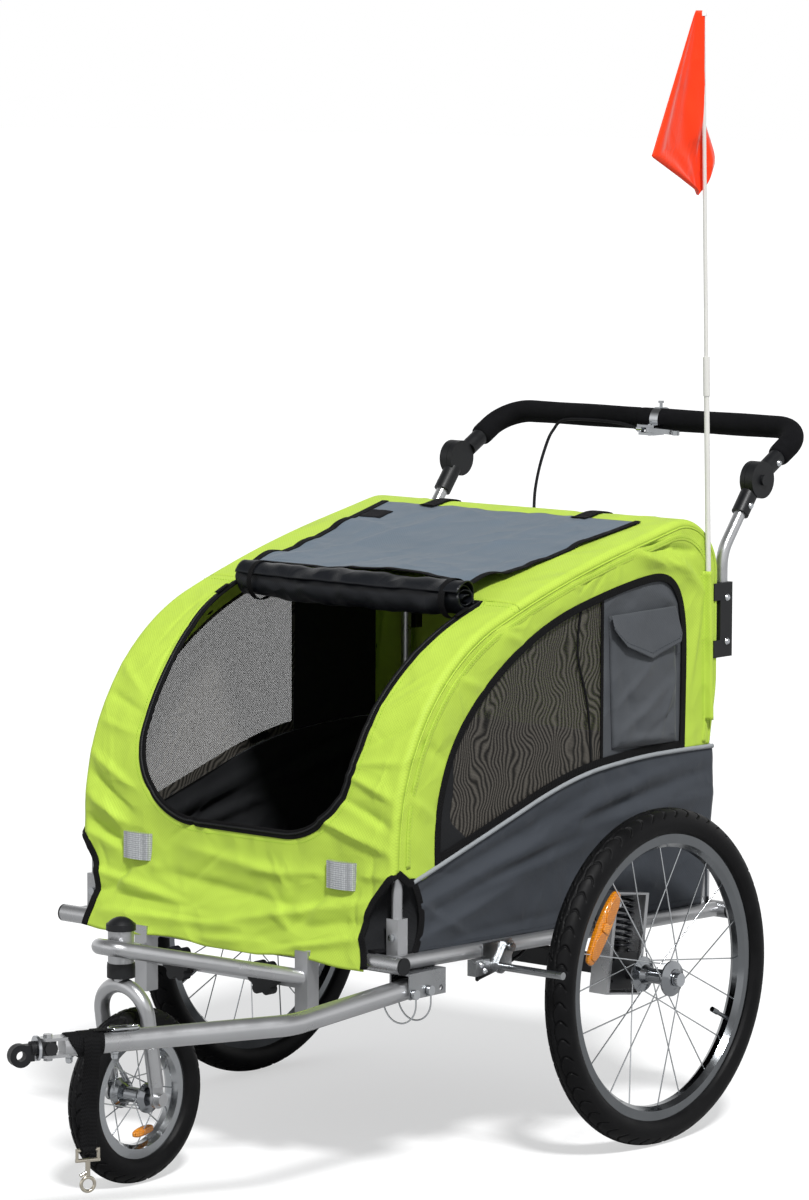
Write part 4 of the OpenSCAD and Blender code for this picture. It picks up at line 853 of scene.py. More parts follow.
FRONT_FOLDS = [
    (-300, 565, -222, 528, 10, 2.4), (-300, 540, -215, 490, 12, -2), (-297, 505, -205, 462, 12, 2.6),
    (-300, 470, -190, 425, 14, -2.2), (-295, 448, -150, 408, 12, 2.4), (-298, 610, -226, 596, 8, 1.6),
    (-290, 395, -110, 368, 12, 2.6), (-262, 366, -60, 352, 11, -2.2), (-240, 338, 10, 342, 12, 2.4),
    (-120, 402, 110, 384, 14, -2), (-60, 440, 130, 420, 16, 2.2), (10, 350, 235, 398, 12, 3.2),
    (60, 330, 256, 376, 10, -2.4), (120, 322, 264, 356, 9, 2.8), (190, 318, 268, 336, 7, -2),
    (300, 472, 150, 512, 12, 2.6), (300, 505, 205, 540, 11, -2.2), (300, 545, 214, 570, 10, 2.4),
    (300, 598, 222, 590, 9, 1.8), (300, 655, 228, 618, 9, -1.8), (300, 705, 238, 668, 9, 1.6),
    (290, 440, 60, 425, 13, 2.2), (-40, 320, 70, 330, 9, 2), (-190, 418, -246, 345, 12, -2),
    (180, 412, 130, 345, 12, -2), (-300, 690, -236, 655, 9, 1.6), (-300, 650, -228, 628, 9, -1.6)]


def front_lift(x, s):
    """Height of the front panel over its outline: listed and seeded folds, none at the side seams, under the
    reflectors and where the panel lies against the frame at the bottom."""
    z = np.interp(s, OUTLINE_S, OUTLINE[:, 1])
    table = np.concatenate([FRONT_FOLDS, crease_table(11, 70, (-300, 320), (300, 760), 80, 6, 1.0)])
    rise = folds(x, z, table) * sizes().fold
    slack = 3.0 * np.sin(x / 41.0) * np.clip((400 - z) / 90, 0, 1)
    seat = 1.0
    for at_x, at_z in REFLECTORS:
        seat = seat * np.clip(np.hypot(x - at_x, z - at_z) / REFLECTOR_R - 1.1, 0, 1)
    lift = np.maximum((rise + slack) * seat, np.clip((352 - z) / 4, -9, 0))
    return lift * edge_fade(x) + 0.5


def front_point(x, s, lift=0.0):
    """A point of the front panel, raised over its folds."""
    return band(x, s, front_lift(x, s) + lift)


def door_loop():
    """The door's edge in (x, z): upright sides that flare under the roof, round lower corners; the left side
    is pulled a little further out than the right."""
    near = np.array([(237, 799), (234, 770), (227, 735), (219, 695), (212, 645), (209, 600)], float)
    near = np.concatenate([near, arc((94, 596), 115, 0, -90, 24)])
    far = np.array([(-231, 799), (-222, 770), (-211, 735), (-203, 690), (-200, 610)], float)
    far = np.concatenate([far, arc((-75, 606), 125, 180, 270, 24)])
    loop = np.concatenate([near, far[::-1]])
    return np.concatenate([smooth(loop, 330), loop[:1]])


def cross(p, q):
    """Cross product of vectors in a plane."""
    return p[..., 0] * q[..., 1] - p[..., 1] * q[..., 0]


def cast(loop, centre, turns):
    """Where rays from a centre meet a closed loop: r = cross(a - c, e) / cross(d, e) for each edge (a, e)."""
    a = loop[:-1] - centre
    e = np.diff(loop, axis=0)
    d = np.stack([np.cos(turns), np.sin(turns)], 1)
    den = cross(d[:, None], e[None])
    den = np.where(np.abs(den) < 1e-9, 1e-9, den)
    r = cross(a, e)[None] / den
    t = cross(a[None], d[:, None]) / den
    hit = np.where((t >= -1e-6) & (t <= 1 + 1e-6) & (r > 0), r, 0).max(1)
    return centre + hit[:, None] * d


def side_point(sign, path, lift=0.0):
    """(y, z) points on a side of the cabin, raised outwards."""
    p = np.asarray(path, float)
    return np.stack([np.full(p.shape[:-1], sign * HALF) + sign * lift, p[..., 0], p[..., 1]], -1)


def pole_y(z):
    """y of the leaning flag pole at a height."""
    return POLE[1] - (z - POLE[2]) * math.tan(POLE_LEAN)


def ring_about(centre, r, a, first, second):
    """A circle about a centre by its angles a in the plane of two directions, and its outward directions."""
    out = np.cos(a)[:, None] * np.asarray(first) + np.sin(a)[:, None] * np.asarray(second)
    return centre + r * out, out


def between(a, b, t):
    """The point at a share t of the way from a to b."""
    return a * (1 - t) + b * t


def black_nylon():
    return moulded("black nylon", linear("#131416"))


class TRAILER_OT_stage(bpy.types.Operator):
    """Pale floor, soft light and the camera of the photograph"""
    bl_idname = "trailer.stage"
    bl_label = "Stage"

    def execute(self, context):
        scene = context.scene
        scene.view_settings.view_transform = "Standard"
        self.camera(scene)
        floor = bpy.data.meshes.new("floor")
        corners = [(x * FLOOR_REACH, y * FLOOR_REACH, 0) for x, y in ((-1, -1), (1, -1), (1, 1), (-1, 1))]
        floor.from_pydata(corners, [], [(0, 1, 2, 3)])
        ground = bpy.data.objects.new("floor", floor)
        ground.location.z = -FLOOR_DROP
        scene.collection.objects.link(ground)
        floor.materials.append(self.paper())
        self.lamp(scene, "sun", *SUN)
        self.lamp(scene, "fill", *FILL)
        self.sky(scene)
        return {"FINISHED"}

    def camera(self, scene):
        """The fitted camera: its axes from yaw, pitch and roll, its lens from a focal length in pixels."""
        yaw, pitch, roll = np.radians(YAW_PITCH_ROLL)
        back = Vector((math.sin(yaw) * math.cos(pitch), -math.cos(yaw) * math.cos(pitch), math.sin(pitch)))
        right = Vector((math.cos(yaw), math.sin(yaw), 0))
        up = back.cross(right)
        right, up = (
            math.cos(roll) * right + math.sin(roll) * up, math.cos(roll) * up - math.sin(roll) * right)
        lens = bpy.data.cameras.new("camera")
        lens.sensor_width = 36
        lens.lens = FOCAL / PHOTO_H * lens.sensor_width
        lens.shift_x = (PHOTO_W / 2 - PRINCIPAL[0]) / PHOTO_H
        lens.shift_y = (PRINCIPAL[1] - PHOTO_H / 2) / PHOTO_H
        lens.clip_end = 200
        camera = bpy.data.objects.new("camera", lens)
        turn = Matrix((right, up, back)).transposed().to_4x4()
        camera.matrix_world = Matrix.Translation(to_frame(CAMERA_AT)) @ turn
        scene.collection.objects.link(camera)
        scene.camera = camera

    def lamp(self, scene, name, energy, spread, toward):
        """A sun of that strength and spread in degrees, which stands in a direction."""
        light = bpy.data.lights.new(name, "SUN")
        light.energy = energy
        light.angle = math.radians(spread)
        lamp = bpy.data.objects.new(name, light)
        lamp.rotation_mode = "QUATERNION"
        lamp.rotation_quaternion = Vector(toward).to_track_quat("Z", "Y")
        scene.collection.objects.link(lamp)

    def seen(self, tree, *kinds):
        """1 for rays of any of these kinds."""
        path = node(tree, "LightPath")
        any_of = path.outputs[kinds[0]]
        for kind in kinds[1:]:
            any_of = node(tree, "Math", {0: any_of, 1: path.outputs[kind]}, operation="MAXIMUM").outputs[0]
        return any_of

    def paper(self):
        """Matt pale paper: to the eye it is white away from the shadow, which stays."""
        made, tree, shader = material("pale paper", (0.46, 0.46, 0.46), 0.9, Specular_IOR_Level=0.0)
        glow = node(tree, "Emission", {"Color": (1, 1, 1, 1), "Strength": 0.55})
        lit = node(tree, "AddShader", {0: shader.outputs[0], 1: glow.outputs[0]})
        eye = self.seen(tree, "Is Camera Ray", "Is Transmission Ray")
        node(tree, "MixShader", {0: eye, 1: shader.outputs[0], 2: lit.outputs[0]},
             tree.nodes["Material Output"].inputs["Surface"])
        return made

    def sky(self, scene):
        """A pale room: light from all round; to the eye its walls are white and its ceiling is dim."""
        world = bpy.data.worlds.new("sky")
        scene.world = world
        world.use_nodes = True
        tree = world.node_tree
        way = node(tree, "SeparateXYZ", {"Vector": node(tree, "TexCoord").outputs["Generated"]})
        wall = node(tree, "MapRange", {
            "Value": way.outputs["Z"], "From Min": 0.3, "From Max": 0.75, "To Min": 1.0, "To Max": 0.12})
        plain = node(tree, "Background", {"Color": (0.95, 0.97, 1, 1), "Strength": 0.42})
        white = node(tree, "Background", {"Color": (1, 1, 1, 1), "Strength": wall.outputs[0]})
        eye = self.seen(tree, "Is Camera Ray", "Is Glossy Ray", "Is Transmission Ray")
        node(tree, "MixShader", {0: eye, 1: plain.outputs[0], 2: white.outputs[0]},
             tree.nodes["World Output"].inputs["Surface"])


class TRAILER_OT_cable(bpy.types.Operator):
    """Brake cable from the lever down behind the cabin to the brake box"""
    bl_idname = "trailer.cable"
    bl_label = "Brake cable"

    def execute(self, context):
        path = through(CABLE_ROUTE, 420)
        r = sizes().cable / 2
        grid = capped(sweep(path, (0.55, 0.2, -0.81), ellipse(r, r, 10)))
        sheath = rubber("PVC cable sheath", linear("#141416"))
        piece = surface("brake_cable_sheath", grid, sheath, None)
        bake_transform(piece)
        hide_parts("brake_cable")
        return {"FINISHED"}


class TRAILER_OT_front_panel(bpy.types.Operator):
    """Lime front panel with its bound door and the two corner notches"""
    bl_idname = "trailer.front_panel"
    bl_label = "Front panel"

    def execute(self, context):
        """Straight lines from the door's edge to the panel's edge, on rays from the door's middle, all laid
        flat in (x, s) and then bent over the outline."""
        door = door_loop()
        inner = np.stack([door[:, 0], s_of_z(door[:, 1])], 1)
        notch = smooth(NOTCH_FRONT, 26)
        side = np.stack([notch[:, 0], s_of_z(notch[:, 1])], 1)
        half = np.concatenate([[(0, SPLIT_S), (HALF, SPLIT_S)], side, [(0, 0)]])
        outer = np.concatenate([half, (half * (-1, 1))[::-1]])
        centre = np.array((0, s_of_z(640)))
        turns = [np.arctan2(p[:, 1] - centre[1], p[:, 0]) for p in (inner, outer)]
        turns = np.unique(np.round(np.concatenate(turns), 5))
        share = shares(44)
        flat = between(cast(inner, centre, turns), cast(outer, centre, turns), share)
        flat = np.concatenate([flat, flat[:, :1]], 1)
        x, s = flat[..., 0], flat[..., 1]
        hem = np.clip(1 - s / 40, 0, 1) * 4 * np.sin(x / 37 + 1)
        grid = band(x, np.maximum(s - hem, 0), front_lift(x, s))
        area = float(abs(self.loop_area(outer)) - abs(self.loop_area(inner))) / 1e6
        sheet("front_panel", grid, oxford("lime"), "green_cloth", (2 * HALF / 1000, SPLIT_S / 1000), area,
              replaced="front_cover", facing=(0, -1, 0.5), thick=CLOTH_T, uv=flat / 1000)
        self.edges(inner, side)
        return {"FINISHED"}

    def loop_area(self, p):
        return np.sum(p[:, 0] * np.roll(p[:, 1], -1) - p[:, 1] * np.roll(p[:, 0], -1)) / 2

    def edges(self, inner, side):
        """Door binding with its zip, notch bindings, the seam with the roof, and its stitches."""
        path, normal = front_point(*inner.T), band_normal(inner[:, 1])
        binding("door_binding", path, normal, DOOR_TAPE, closed=True)
        along = np.linspace(0, lengths(path)[-1], 1500)
        path, normal = even(path, 1500), even(normal, 1500)
        grid = sweep(path + normal * 2.2, normal, ellipse(1, 1, 6), closed=True)
        middle = grid[:, :-1].mean(1, keepdims=True)
        teeth = 1.5 + 0.5 * np.cos(along / ZIP_PITCH * TAU)
        grid = middle + (grid - middle) * teeth[:, None, None]
        surface("door_zip", grid, black_nylon())
        out = inner + DOOR_TAPE * self.outward(inner)
        stitches("door_stitches", front_point(*out.T, 0.2), band_normal(out[:, 1]), sewing_thread("lime"))
        for sign, name in SIDES:
            x, s = (side * (sign, 1)).T
            binding("front_notch_binding." + name, front_point(x, s, 0.4), band_normal(s), HEM_TAPE)
            x, s = np.linspace(236, HALF - 1, 30) * sign, np.full(30, SPLIT_S - 12.0)
            stitches("roof_seam." + name, front_point(x, s, 0.3), band_normal(s), sewing_thread("lime"))

    def outward(self, loop):
        t = tangents(loop, closed=True)
        n = np.stack([t[:, 1], -t[:, 0]], 1)
        middle = loop.mean(0)
        return n * np.sign(np.sum(n * (loop - middle), 1, keepdims=True))


class TRAILER_OT_roof_panel(bpy.types.Operator):
    """Lime roof and back in one sheet, and the grey lower back with its piping"""
    bl_idname = "trailer.roof_panel"
    bl_label = "Roof and back"

    def execute(self, context):
        rim = HALF - EDGE_R
        across = np.concatenate([
            np.linspace(-HALF, -rim, 9)[:-1], np.linspace(-rim, rim, 64), np.linspace(rim, HALF, 9)[1:]])
        x, s = np.meshgrid(across, np.linspace(SPLIT_S, STRIPE_S, 110))
        crease = crease_table(23, 70, (-300, SPLIT_S), (300, STRIPE_S), 90, 9, 2.4)
        bare = np.maximum(np.clip((np.abs(x) - 225) / 20, 0, 1), np.clip((s - s_of_y(150)) / 20, 0, 1))
        grid = band(x, s, folds(x, s, crease) * edge_fade(x) * bare + 0.5)
        uv = np.stack([x, s], 2) / 1000
        sheet("roof_panel", grid, oxford("lime"), "green_cloth", replaced="roof_cover", facing=(0, 0.5, 1),
              thick=CLOTH_T, uv=uv)
        hem = OUTLINE_S[-1] - 8
        x, s = np.meshgrid(across, np.linspace(STRIPE_S, hem, 40))
        crease = crease_table(29, 40, (-300, STRIPE_S), (300, OUTLINE_S[-1]), 120, 12, 4)
        grid = band(x, s, folds(x, s, crease) * edge_fade(x) + 0.3)
        sheet("back_panel", grid, oxford("slate"), "green_cloth", facing=(0, 1, 0), thick=CLOTH_T,
              lining=black_lining())
        strip("back_piping", *self.row(across, STRIPE_S, 1.5), ellipse(2.8, 2.8, 10), silver_piping())
        for k, off in enumerate((9, 15)):
            stitches("back_stitches.%d" % k, *self.row(across, STRIPE_S - off, 0.9), sewing_thread("lime"))
        binding("back_hem", *self.row(across, hem, 0.5), HEM_TAPE)
        return {"FINISHED"}

    def row(self, x, s, lift):
        """A line across the cabin, raised over the outline, and its normals."""
        s = np.full(x.shape, s)
        return band(x, s, lift), band_normal(s)


class TRAILER_OT_sides(bpy.types.Operator):
    """Both sides: lime arch, mesh window, grey panel, piping and lower side; pocket and sleeve on the left"""
    bl_idname = "trailer.sides"
    bl_label = "Sides"

    def execute(self, context):
        for sign, side in SIDES:
            self.arch(sign, side)
            self.window(sign, side)
            self.lower(sign, side)
        self.pocket()
        self.sleeve()
        return {"FINISHED"}

    def arch(self, sign, side):
        """Strip between the window's edge and the cabin's outline: a straight line joins points at equal
        shares of both lengths, and the strip swells a little between them."""
        s = np.linspace(s_of_z(ARCH_FOOT_Z), STRIPE_S, 220)
        outer = np.stack(along_outline(s, OUTLINE), 1) - EDGE_R * np.stack(along_outline(s, OUTLINE_N), 1)
        inner = smooth(WINDOW, 220)
        t = shares(22)
        flat = between(inner, outer, t)
        swell = np.sin(math.pi * t[..., 0])
        flat[..., 1] -= 15 * swell * np.exp(-(np.arange(220) / 7.0) ** 2)
        table = np.concatenate([
            [(-460, 560, -400, 520, 10, 1.6), (-440, 640, -375, 600, 10, -1.5), (60, 860, 130, 830, 9, 3.0),
             (80, 868, 190, 850, 8, -2.6), (150, 852, 218, 790, 9, 2.4), (120, 845, 170, 825, 7, 2.2),
             (-250, 770, -200, 745, 9, 1.4), (215, 760, 190, 640, 10, 1.6), (-340, 710, -290, 690, 8, 1.4)],
            crease_table(31 + sign, 50, (-470, 450), (240, 870), 60, 6, 0.9)])
        ridge = folds(flat[..., 0], flat[..., 1], table) * swell ** 0.5 * sizes().fold
        grid = side_point(sign, flat, ARCH_SWELL * swell + ridge)
        length = float(max(lengths(outer)[-1], lengths(inner)[-1])) / 1000
        area = grid_area(side_point(sign, flat))
        width = max(0.1, area / length * 1.2)
        out = (sign, 0, 0)
        sheet("arch_panel." + side, grid, oxford("lime"), "green_cloth", (width, length), area,
              replaced="side_covers", facing=out, thick=CLOTH_T, uv=flat / 1000)
        binding("window_binding." + side, side_point(sign, inner, 0.8), out, sizes().binding + 1)
        row = between(inner, outer, ARCH_SEAM)
        lift = ARCH_SWELL * math.sin(math.pi * ARCH_SEAM)
        strip("arch_seam." + side, side_point(sign, row[1:-1], lift - 0.3), out, tape(9, 1.5), oxford("lime"))
        stitches("arch_stitches." + side, side_point(sign, row[3:-3], lift + 1.4), out, sewing_thread("lime"))
        strip("seam_welt." + side, side_point(sign, outer, 0.2), out, ellipse(1.5, 1.1, 8), oxford("lime"))

    def region(self, start, stop, count):
        """The window between two ys: columns run straight from the stripe up to the window's edge."""
        edge = smooth(WINDOW, 400)
        crown = int(edge[:, 1].argmax())
        stripe = smooth(STRIPE, 200)
        y = start + (stop - start) * (0.5 - 0.5 * np.cos(np.linspace(0, math.pi, count)))
        front = np.interp(y, np.maximum.accumulate(edge[:crown, 0]), edge[:crown, 1])
        back = np.interp(y, np.maximum.accumulate(edge[crown:, 0]), edge[crown:, 1])
        high = np.where(y < edge[crown, 0], front, back)
        low = np.interp(y, stripe[:, 0], stripe[:, 1])
        t = np.linspace(0, 1, 40)[:, None]
        z = between(low, np.maximum(high, low + 1), t)
        return np.stack([np.broadcast_to(y, z.shape), z], 2)

    def window(self, sign, side):
        """Mesh in the front part and a grey panel behind it, both a little slack; the right mesh is cut on
        the bias, so that the two don't line up when one is seen through the other."""
        out = (sign, 0, 0)
        flat = self.region(*MESH_Y, 60)
        slack = -3 + 2.5 * np.sin(flat[..., 0] / 60) * np.sin(flat[..., 1] / 50)
        grid = side_point(sign, flat, slack)
        bias = 0.0 if sign > 0 else 0.6
        turned = flat @ np.array([[math.cos(bias), math.sin(bias)], [-math.sin(bias), math.cos(bias)]])
        veil = window_mesh(sizes().mesh)
        sheet("window_mesh." + side, grid, veil, "black_cloth", facing=out, uv=turned / 1000)
        self.corner(sign, side)
        flat = self.region(*PANEL_Y, 40)
        crease = folds(flat[..., 0], flat[..., 1], [
            (0, 790, 60, 805, 8, 2.6), (40, 796, 80, 775, 7, -2.2), (90, 803, 165, 772, 8, 3.0),
            (120, 806, 150, 778, 6, 2.2), (150, 700, 170, 600, 8, 1.6), (-8, 740, -2, 600, 5, 1.8)])
        grid = side_point(sign, flat, crease - 2)
        sheet("window_panel." + side, grid, oxford("grey"), "grey_cloth", facing=out, thick=THIN_CLOTH_T,
              uv=flat / 1000, lining=black_lining())
        if sign > 0:
            seam = through([(-63, 792), (-72, 720), (-48, 640), (-38, 546)], 40)
            binding("mesh_seam." + side, side_point(sign, seam, -1.5), out, MESH_TAPE, thick=1.6)
        low = smooth(STRIPE, 300) + (0, 8)
        low = low[(low[:, 0] > -384) & (low[:, 0] < 172)]
        binding("window_hem." + side, side_point(sign, low, 0.2), out, DOOR_TAPE)
        split = even(np.array([(PANEL_SPLIT_Y, 797), (PANEL_SPLIT_Y, 549)], float), 30)
        binding("panel_seam." + side, side_point(sign, split, -1.2), out, SEAM_TAPE, thick=1.6)

    def corner(self, sign, side):
        """Black facing in the window's lower front corner: straight lines from the window's edge to a wavy
        edge."""
        edge = smooth(WINDOW, 400)
        edge = even(edge[(edge[:, 1] < 612) & (edge[:, 0] < -200)], 40)
        v = np.linspace(0, 1, 40)
        reach = np.interp(v, [0, 0.12, 0.3, 0.5, 0.75, 1], [74, 62, 34, 26, 22, 2]) + 3 * np.sin(v * 14)
        t = np.linspace(0, 1, 14)[:, None]
        high = np.broadcast_to(edge[:, 1], (14, 40)) + t * 18 * (1 - v) ** 3
        grid = side_point(sign, np.stack([edge[:, 0] + t * reach, high], 2), -1.2)
        sheet("window_corner." + side, grid, black_lining(), "black_cloth", facing=(sign, 0, 0), thick=0.6)

    def lower(self, sign, side):
        """Grey panel under the stripe: columns run from the stripe to the hem, which lies along the rail; the
        front edge bows into the notch."""
        out = (sign, 0, 0)
        stripe = smooth(STRIPE, 150)
        share = np.linspace(0, 1, 150)
        foot = HEM_Y[0] + share * (HEM_Y[1] - HEM_Y[0])
        rail = np.interp(foot, *zip(RAIL_FRONT, RAIL_REAR))
        low = np.stack([foot, rail + HEM_OVER_RAIL + 0.8 * np.sin(share * 40)], 1)
        t = shares(44)
        flat = between(stripe, low, t)
        t, u = t[..., 0], share[None, :]
        flat[..., 0] += 16 * np.sin(math.pi * t) * np.clip(1 - u * 6, 0, 1)
        flat[..., 0] += 22 * np.sin(math.pi * t * 0.75) * np.clip(u * 6 - 5, 0, 1) * (1 - t)
        table = np.concatenate([
            [(-420, 415, -60, 508, 20, -2.4), (-400, 402, 60, 512, 17, 2.6), (-380, 385, 20, 480, 20, -2),
             (-60, 500, 230, 540, 15, 2.2), (-410, 352, -250, 392, 18, 2.6), (-330, 340, -120, 345, 14, -2),
             (-200, 440, 200, 500, 18, 2.4), (-415, 392, -330, 345, 13, 2.2), (-120, 470, 220, 515, 14, -2),
             (-300, 400, -60, 440, 16, 2.2), (40, 470, 230, 480, 15, 2)],
            crease_table(41 + sign, 44, (-430, 325), (240, 540), 80, 7, 0.9)])
        inside = np.sin(math.pi * np.clip(t, 0.02, 0.98)) ** 0.5
        lift = folds(flat[..., 0], flat[..., 1], table) * inside * sizes().fold + 1.0
        grid = side_point(sign, flat, lift)
        sheet("lower_panel." + side, grid, oxford("slate"), "grey_cloth", facing=out, thick=CLOTH_T,
              uv=flat / 1000, lining=black_lining())
        piping = side_point(sign, stripe, 2.2)
        strip("side_piping." + side, piping, out, ellipse(3.4, 3.0, 10), silver_piping())
        front = np.concatenate([smooth(NOTCH_SIDE[:2], 8)[:-1], flat[:, 0]])
        binding("side_notch_binding." + side, side_point(sign, even(front, 60), 1.6), out, NOTCH_TAPE)
        self.gusset(sign, side, front)
        hem = side_point(sign, flat[-3], lift[-3].mean() + 1.2)
        stitches("hem_stitches." + side, hem, out, sewing_thread("grey"))

    def gusset(self, sign, side, notch):
        """Black cloth behind the tube in the corner notch: straight lines from the front panel's edge to the
        side's edge, bowed inwards between them."""
        edge = smooth(NOTCH_FRONT, 26)
        first = front_point(edge[:, 0] * sign, s_of_z(edge[:, 1]), -2.5)
        last = even(side_point(sign, notch, -2.0), 26)
        t = shares(18)
        grid = between(first, last, t) + 9 * np.sin(math.pi * t) * np.array((-0.8 * sign, 0.6, 0))
        sheet("corner_gusset." + side, grid, black_lining(), "black_cloth", facing=(sign, -1, 0), thick=0.8)

    def pocket(self):
        """Patch pocket on the left panel: a bulging front with gusset sides, and a pointed flap over it."""
        out = (1, 0, 0)
        u, v = np.meshgrid(np.linspace(0, 1, 40), np.linspace(0, 1, 44))
        left = np.interp(v, [0, 1], [9, 0])
        right = np.interp(v, [0, 0.8, 1], [162, 158, 146])
        y = between(left, right, u)
        z = np.interp(v, [0, 1], POCKET_Z) - 5 * u * (1 - v)
        rim = np.clip(np.minimum(np.minimum(u, 1 - u), v * 1.2) / 0.06, 0, 1) ** 0.5
        bulge = 7 * np.sin(math.pi * u) ** 0.7 * (1 - 0.6 * v)
        crease = folds(y, z, [
            (30, 600, 120, 650, 12, 2.6), (25, 690, 55, 600, 10, -2.2), (150, 660, 110, 585, 10, 2.4),
            (20, 640, 90, 690, 9, 1.8), (90, 590, 150, 620, 8, -1.8), (40, 585, 120, 580, 7, 1.8)])
        flat = np.stack([y, z], 2)
        grid = side_point(1, flat, rim * (5 + bulge + 2 * crease) - 1)
        grey, uv = oxford("grey"), flat / 1000
        sheet("pocket", grid, grey, "grey_cloth", facing=out, thick=THIN_CLOTH_T, uv=uv)
        edge = [(-4, 750), (3, 741), (25, 721), (88, 698), (154, 717), (156, 730)]
        low = even(np.asarray(edge, float), 48)
        high = np.stack([np.linspace(-4, 148, 48), np.linspace(769, 771, 48)], 1)
        t = shares(26)
        flat = between(high, low, t)
        t = t[..., 0]
        lift = 7.5 + 7 * t ** 0.8 + 2.0 * np.sin(flat[..., 0] / 24) * t
        grid = side_point(1, flat, lift)
        sheet("pocket_flap", grid, grey, "grey_cloth", held="hung", facing=out, thick=1.4, uv=flat / 1000)
        row = side_point(1, flat[-4], lift[-4] + 0.3)
        stitches("pocket_flap_stitches", row, out, sewing_thread("grey"), pitch=4.4)
        base = side_point(1, np.stack([np.linspace(16, 154, 40), np.full(40, 581.0)], 1), 8.5)
        stitches("pocket_hem_stitches", base, out, sewing_thread("grey"), pitch=4.4)

    def sleeve(self):
        """Narrow lime pocket that holds the flag pole: flat edges, a half-round channel down its middle."""
        a, z = np.meshgrid(np.linspace(-13.5, 11, 26), np.linspace(*SLEEVE_Z, 40))
        grid = side_point(1, np.stack([pole_y(z) + a, z], 2), 1.4 + 10.6 * np.exp(-(a / 5.4) ** 4))
        sheet("flag_sleeve", grid, oxford("lime"), "green_cloth", facing=(1, 0, 0), thick=0.8)
        z = np.linspace(SLEEVE_Z[0] + 4, SLEEVE_Z[1] - 4, 30)
        for k, off in enumerate((-11.5, 9)):
            row = side_point(1, np.stack([pole_y(z) + off, z], 1), 2.2)
            stitches("sleeve_stitches.%d" % k, row, (1, 0, 0), sewing_thread("lime"))


class TRAILER_OT_roof_flap(bpy.types.Operator):
    """Grey roof flap with bound edges and two black straps"""
    bl_idname = "trailer.roof_flap"
    bl_label = "Roof flap"

    def execute(self, context):
        """Rows across the roof at heights over its outline; the front is free and sinks at its corners, the
        edges are wavy, and no fold goes deeper than a third of the gap below."""
        up = (0, 0, 1)
        y = np.linspace(*FLAP_Y, 80)
        roof = np.interp(s_of_y(y), OUTLINE_S, OUTLINE[:, 1])
        z = np.maximum(roof + 2.6, np.interp(y, [FLAP_Y[0], -190, -150, -70], [833.5, 837, 840, 846]))
        half = np.interp(y, FLAP_Y, FLAP_HALF)
        v = np.linspace(-1, 1, 60)
        x = half[:, None] * v
        yy = np.broadcast_to(y[:, None], x.shape)
        free = np.clip((-y[:, None] - 20) / 150, 0, 1)
        wave = 4.2 * np.sin(yy / 15) * np.abs(v) ** 6 * np.clip((60 - yy) / 60, 0, 1)
        long_folds = [
            (-190, -205, -70, 110, 22, 4.0), (-60, -210, 30, 70, 20, -3.5), (60, -205, 120, 120, 18, 3.6),
            (150, -205, 190, 60, 16, -3.0), (-225, 40, -120, 10, 16, 3.4), (-120, 140, 20, 90, 14, 3.0),
            (60, 140, 220, 60, 16, 3.2), (-20, -120, 180, -170, 16, 2.6)]
        small_folds = crease_table(53, 46, (-230, -210), (230, 150), 90, 9, 2.4)
        dip = folds(x, yy, np.concatenate([long_folds, small_folds]))
        shift = wave + dip - 5 * free * np.abs(v) ** 4 + 3 * free * np.sin(x / 60)
        zz = z[:, None] + np.maximum(shift, -0.35 * (z - roof)[:, None])
        grid = np.stack([x, yy, zz], 2)
        sheet("roof_flap", grid, oxford("blue-grey", 0.2), "grey_cloth", held="laid", on="roof_panel",
              replaced="top_flap", facing=up, thick=1.3)
        binding("flap_binding", np.concatenate([grid[::-1, 0], grid[0, 1:], grid[1:, -1]]), up, DOOR_TAPE)
        patch = grid[np.ix_((y > 56) & (y < 94), (v > -0.97) & (v < -0.78))] + (0, 0, 1.2)
        hooks = webbing("hook tape", linear("#101012"), 1.6)
        sheet("flap_patch", patch, hooks, "black_cloth", held="laid", on="roof_flap", facing=up, thick=1.2)
        s = np.linspace(s_of_y(FLAP_Y[1] - 10), s_of_y(FLAP_Y[1]) + 62, 26)
        lift = np.interp(s, [s[0], s[0] + 10, s[-1]], [4.4, 2.6, 1.2])
        for k, mid in enumerate((-154.0, 143.0)):
            path = band(np.full(26, mid), s, lift)
            strip("flap_strap.%d" % k, path, band_normal(s), tape(28, 2.2), nylon_tape())
        return {"FINISHED"}


